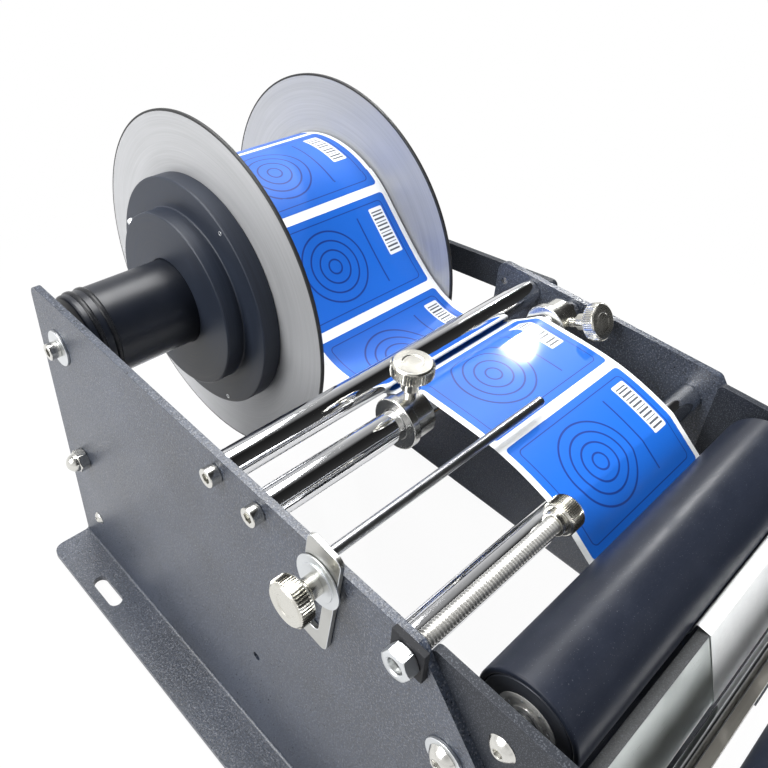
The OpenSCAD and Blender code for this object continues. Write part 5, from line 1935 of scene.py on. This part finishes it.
@dataclass(frozen=True)
class DomeScrew:
    """A screw with a round head and a hex socket: head below zero, shank above."""
    radius: float
    height: float
    shank_r: float
    socket: float
    shank_l: float = 7.0
    steps: int = 10

    def dome(self, radius: float) -> float:
        """Where the ball of the head is at a distance from the axis."""
        ball = (self.radius * self.radius + self.height * self.height) / (2 * self.height)
        return ball - self.height - math.sqrt(ball * ball - radius * radius)

    def shape(self) -> Shape:
        """Turns the screw.

        Returns:
            The screw along local Z.
        """
        reach = hex_corner(self.socket)
        lip = reach + 0.3
        lip_z = self.dome(lip)
        floor = lip_z + self.height * 0.55
        rings = [Ring(floor + 0.1, 0), Ring(floor, reach * 0.8, Outline.HEX, self.socket * 0.8),
                 Ring(lip_z + 0.25, reach, Outline.HEX, self.socket), Ring(lip_z, lip)]
        for step in range(1, self.steps + 1):
            radius = lip + (self.radius - lip) * step / self.steps
            rings.append(Ring(min(self.dome(radius), -0.25), radius))
        rings += [Ring(0, self.radius), Ring(0, self.shank_r), Ring(self.shank_l, self.shank_r), Ring(self.shank_l, 0)]
        return turned(rings, 72, False)


@dataclass
class Fasteners:
    """Screws, washers, the rear stud and its domed nut."""
    cap: CapScrew = CapScrew()
    dome: DomeScrew = DomeScrew(7.0, 4.5, 4.0, 5.0)
    pan: DomeScrew = DomeScrew(6.2, 3.6, 3.0, 4.0)
    wide_washer: float = 10.0
    wide_bore: float = 3.3
    small_bore: float = 4.3
    post_head: float = 7.0
    post_head_h: float = 2.6
    post_r: float = 2.4
    bar_head_h: float = 2.0
    bar_shank_r: float = 1.4
    small_socket: float = 0.34
    post_nut: Triple = (4.0, 8.0, 2.3)
    post_thread: Point = (2.45, 0.8)
    post_start: float = 4.0
    post_out: float = 7.5
    stud_r: float = 4.0
    stud_pitch: float = 1.25
    across: float = 13.0
    nut_h: float = 6.5
    bite: float = 0.2
    plate_t: float = 4.0

    def stamped(self, shop: Workshop, name: str, node: str, screw: Union[CapScrew, DomeScrew]) -> None:
        """Puts one kind of screw at each solid of a node.

        Args:
            shop: The workshop.
            name: The piece's name.
            node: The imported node.
            screw: The kind of screw.
        """
        parts = []
        for sign in (1, -1):
            places = [box.at(box.low.x + screw.height if low else box.high.x - screw.height)
                      for box, low in solids(node) if low == (sign > 0)]
            parts.append(Part(shop.screws(screw.shape(), places, sign, NICKEL), NICKEL, Matrix.Scale(MM, 4)))
        shop.piece(name, parts, "frame", "zinc", node)

    def build(self, shop: Workshop) -> None:
        """Builds every screw, washer and nut that isn't part of another class.

        Args:
            shop: The workshop.
        """
        self.stamped(shop, "cap_screws_socketed", "cap_screws", self.cap)
        self.stamped(shop, "bracket_screws_domed", "bracket_screws", self.dome)
        self.stamped(shop, "axle_screws_domed", "axle_screws", self.pan)
        parts = []
        for box, _ in solids("washers"):
            bore = self.wide_bore if box.radius > self.wide_washer else self.small_bore
            parts.append(Part(plain_tube(bore, box.radius, box.length, edge=0.3, segments=96), ZINC, box.seat))
        shop.piece("washers_pressed", parts, "frame", "zinc", "washers")
        parts = []
        for box, low in solids("small_screws"):
            wide = box.high.y - box.low.y
            post = wide > self.post_head
            height, shank_r = (self.post_head_h, self.post_r) if post else (self.bar_head_h, self.bar_shank_r)
            if box.high.z - box.low.z > wide + 0.1:
                long = box.length - height - self.post_start
                parts.append(Part(hex_nut(*self.post_nut), ZINC, seat_x(box.at(box.high.x - self.post_out))))
                parts.append(Part(shop.threaded(*self.post_thread, long, ZINC), ZINC,
                                  seat_x(box.at(box.high.x - long))))
            screw = DomeScrew(wide / 2, height, shank_r, wide * self.small_socket)
            place = box.at(box.low.x + height if low else box.high.x - height)
            parts.append(Part(screw.shape(), NICKEL, seat_x(place, 1 if low else -1)))
        shop.piece("small_screws_domed", parts, "frame", "zinc", "small_screws")
        box = Extent.of("rear_stud")
        inner = seat_x(box.at(box.low.x + self.nut_h + self.plate_t))
        bore = self.stud_r - self.bite
        shop.piece("rear_stud_threaded",
                   [Part(shop.threaded(self.stud_r, self.stud_pitch, box.length, ZINC), ZINC, box.seat),
                    Part(hex_nut(self.nut_h, self.across, bore), ZINC, inner)], "frame", "zinc", "rear_stud")
        box = Extent.of("acorn_nut")
        cap, foot = box.length - self.nut_h, self.nut_h - 0.4
        rings = [Ring(foot, 0), Ring(foot, cap)]
        rings += [Ring(self.nut_h + cap * math.sin(math.radians(angle)), cap * math.cos(math.radians(angle)))
                  for angle in range(5, 90, 9)] + [Ring(self.nut_h + cap, 0)]
        seat = seat_x(box.at(box.high.x), -1)
        shop.piece("acorn_nut_domed", [Part(turned(rings, 96, False), NICKEL, seat),
                                       Part(hex_nut(self.nut_h, self.across, bore), NICKEL, seat)],
                   "frame", "zinc", "acorn_nut")


@dataclass(frozen=True)
class Panel:
    """One soft square lamp: where it stands and points in metres, its side and its power in watts."""
    name: str
    place: Triple
    aim: Triple
    size: float
    power: float
    mirrored: bool = True


PANELS = (Panel("left_panel", (-1.2, 0.4, 1.0), (0.0, 0.0, 0.16), 0.9, 28.0),
          Panel("top_panel", (0.1, 0.55, 1.35), (0.0, -0.05, 0.15), 0.8, 24.0),
          Panel("front_panel", (0.2, -0.62, 0.5), (0.06, -0.2, 0.17), 0.35, 4.4, False),
          Panel("back_panel", (0.859, 0.44, 0.935), (0.025, -0.035, 0.212), 0.05, 6.0))


@dataclass
class Studio:
    """Camera, pale floor, soft lamps and a white surround."""
    eye: Triple = (-0.28615, -0.21995, 0.4766)
    right: Triple = (0.70028, -0.71007, 0.07361)
    up: Triple = (0.38445, 0.46200, 0.79922)
    back: Triple = (-0.60150, -0.53138, 0.59652)
    lens: float = 37.61
    shift: tuple[float, float] = (-0.0264, -0.0646)
    sensor: float = 36.0
    floor_size: float = 6.0
    floor_drop: float = 0.0006
    surround: float = 0.14
    ceiling: Point = (0.12, 0.95)
    ceiling_light: float = 0.3
    dark_side: Point = (0.15, 0.42)
    dark_floor: Point = (120.0, 280.0)
    dark_light: float = 0.05
    floor_white: float = 0.955
    shade_x: Point = (80.0, 130.0)
    shade_y: Point = (130.0, 190.0)
    shade_at: float = 130.0
    fade: Point = (260.0, 620.0)
    mirror_light: Point = (0.04, 0.8)

    def camera(self) -> None:
        """Puts the camera where the photograph was taken."""
        data = bpy.data.cameras.new("camera")
        data.lens, data.sensor_width, data.clip_start = self.lens, self.sensor, 0.01
        data.shift_x, data.shift_y = self.shift
        view = bpy.data.objects.new("camera", data)
        turn = Matrix((self.right, self.up, self.back)).transposed().to_4x4()
        view.matrix_world = Matrix.Translation(self.eye) @ turn
        bpy.context.scene.collection.objects.link(view)
        bpy.context.scene.camera = view

    def lamp(self, panel: Panel) -> None:
        """Adds one soft lamp.

        Args:
            panel: The lamp's place, size and power.
        """
        data = bpy.data.lights.new(panel.name, "AREA")
        data.shape, data.size, data.energy = "SQUARE", panel.size, panel.power
        lamp = bpy.data.objects.new(panel.name, data)
        lamp.visible_glossy = panel.mirrored
        way = Vector(panel.aim) - Vector(panel.place)
        lamp.matrix_world = Matrix.Translation(panel.place) @ way.to_track_quat("-Z", "Y").to_matrix().to_4x4()
        bpy.context.scene.collection.objects.link(lamp)

    def world(self) -> None:
        """White to the eye, white with a dim ceiling and a dark side in reflections, soft light for the rest."""
        world = bpy.data.worlds.new("surround")
        world.use_nodes = True
        bpy.context.scene.world = world
        graph = Graph(world.node_tree)
        world.node_tree.nodes.clear()
        path = graph.node("ShaderNodeLightPath").outputs
        camera, glossy = Signal(graph, path["Is Camera Ray"]), Signal(graph, path["Is Glossy Ray"])
        clear = Signal(graph, path["Is Transmission Ray"])
        x, y, height = graph.split(graph.node("ShaderNodeTexCoord").outputs["Generated"])
        dark_side = ((x - y) * math.sqrt(0.5)).between(*self.dark_side, 1.0, self.dark_light)
        above = height.between(*self.ceiling, 1.0, self.ceiling_light)
        shown = camera.most(glossy * dark_side * above).most(clear)
        soft = graph.node("ShaderNodeBackground", None, {"Color": (1, 1, 1, 1), "Strength": self.surround})
        white = graph.node("ShaderNodeBackground", None, {"Color": (1, 1, 1, 1), "Strength": shown})
        mixed = graph.node("ShaderNodeMixShader", None, {0: camera.most(glossy).most(clear), 1: soft.outputs[0],
                                                         2: white.outputs[0]})
        graph.node("ShaderNodeOutputWorld", None, {"Surface": mixed.outputs[0]})

    def floor(self) -> None:
        """A pale floor that keeps the object's shadow, is white further out and dim below it in reflections."""
        half, level = self.floor_size / 2, -self.floor_drop
        mesh = bpy.data.meshes.new("floor")
        mesh.from_pydata([(-half, -half, level), (half, -half, level), (half, half, level), (-half, half, level)],
                         [], [(0, 1, 2, 3)])
        piece = bpy.data.objects.new("floor", mesh)
        bpy.context.scene.collection.objects.link(piece)
        graph = ShaderGraph("pale_floor")
        x, y, _ = graph.split(graph.place_mm())
        far = (x * x + y * y).root().between(*self.fade)
        path = graph.node("ShaderNodeLightPath").outputs
        outside = abs(x).between(*self.shade_x).most(abs(y - self.shade_at).between(*self.shade_y))
        outside = outside * ((x - y) * math.sqrt(0.5)).between(*self.dark_floor, 1.0, self.dark_light)
        seen = (Signal(graph, path["Is Camera Ray"]) * (self.floor_white + far * (1 - self.floor_white))
                + Signal(graph, path["Is Glossy Ray"]) * (self.mirror_light[0] + outside * self.mirror_light[1]))
        cloud = graph.noise(graph.place_mm(), 40.0, 3.0)
        pale = graph.node("ShaderNodeBsdfDiffuse", None,
                          {"Color": graph.blend(cloud, srgb(243, 243, 244), srgb(250, 250, 250))})
        glow = graph.node("ShaderNodeEmission", None, {"Color": (1, 1, 1, 1), "Strength": 1.0})
        mixed = graph.node("ShaderNodeMixShader", None, {0: seen, 1: pale.outputs[0], 2: glow.outputs[0]})
        graph.node("ShaderNodeOutputMaterial", None, {"Surface": mixed.outputs[0]})
        mesh.materials.append(graph.material)

    def build(self) -> None:
        """Sets up the whole studio."""
        bpy.context.scene.view_settings.view_transform = "Standard"
        self.camera()
        self.world()
        self.floor()
        for panel in PANELS:
            self.lamp(panel)


def main() -> None:
    """Builds the studio and every sub-assembly in order, and logs each piece as it is made."""
    logging.basicConfig(level=logging.INFO, format="%(name)s %(message)s")
    Studio().build()
    shop = Workshop()
    for group in (SidePlates(), GuideRods(), Spindle(), LabelStock(), BottleRollers(), PeelStation(), Drive(),
                  Guides(), Pointer(), EdgeStop(), Fasteners()):
        LOG.info("building %s", type(group).__name__)
        group.build(shop)


if __name__ == "__main__":
    main()
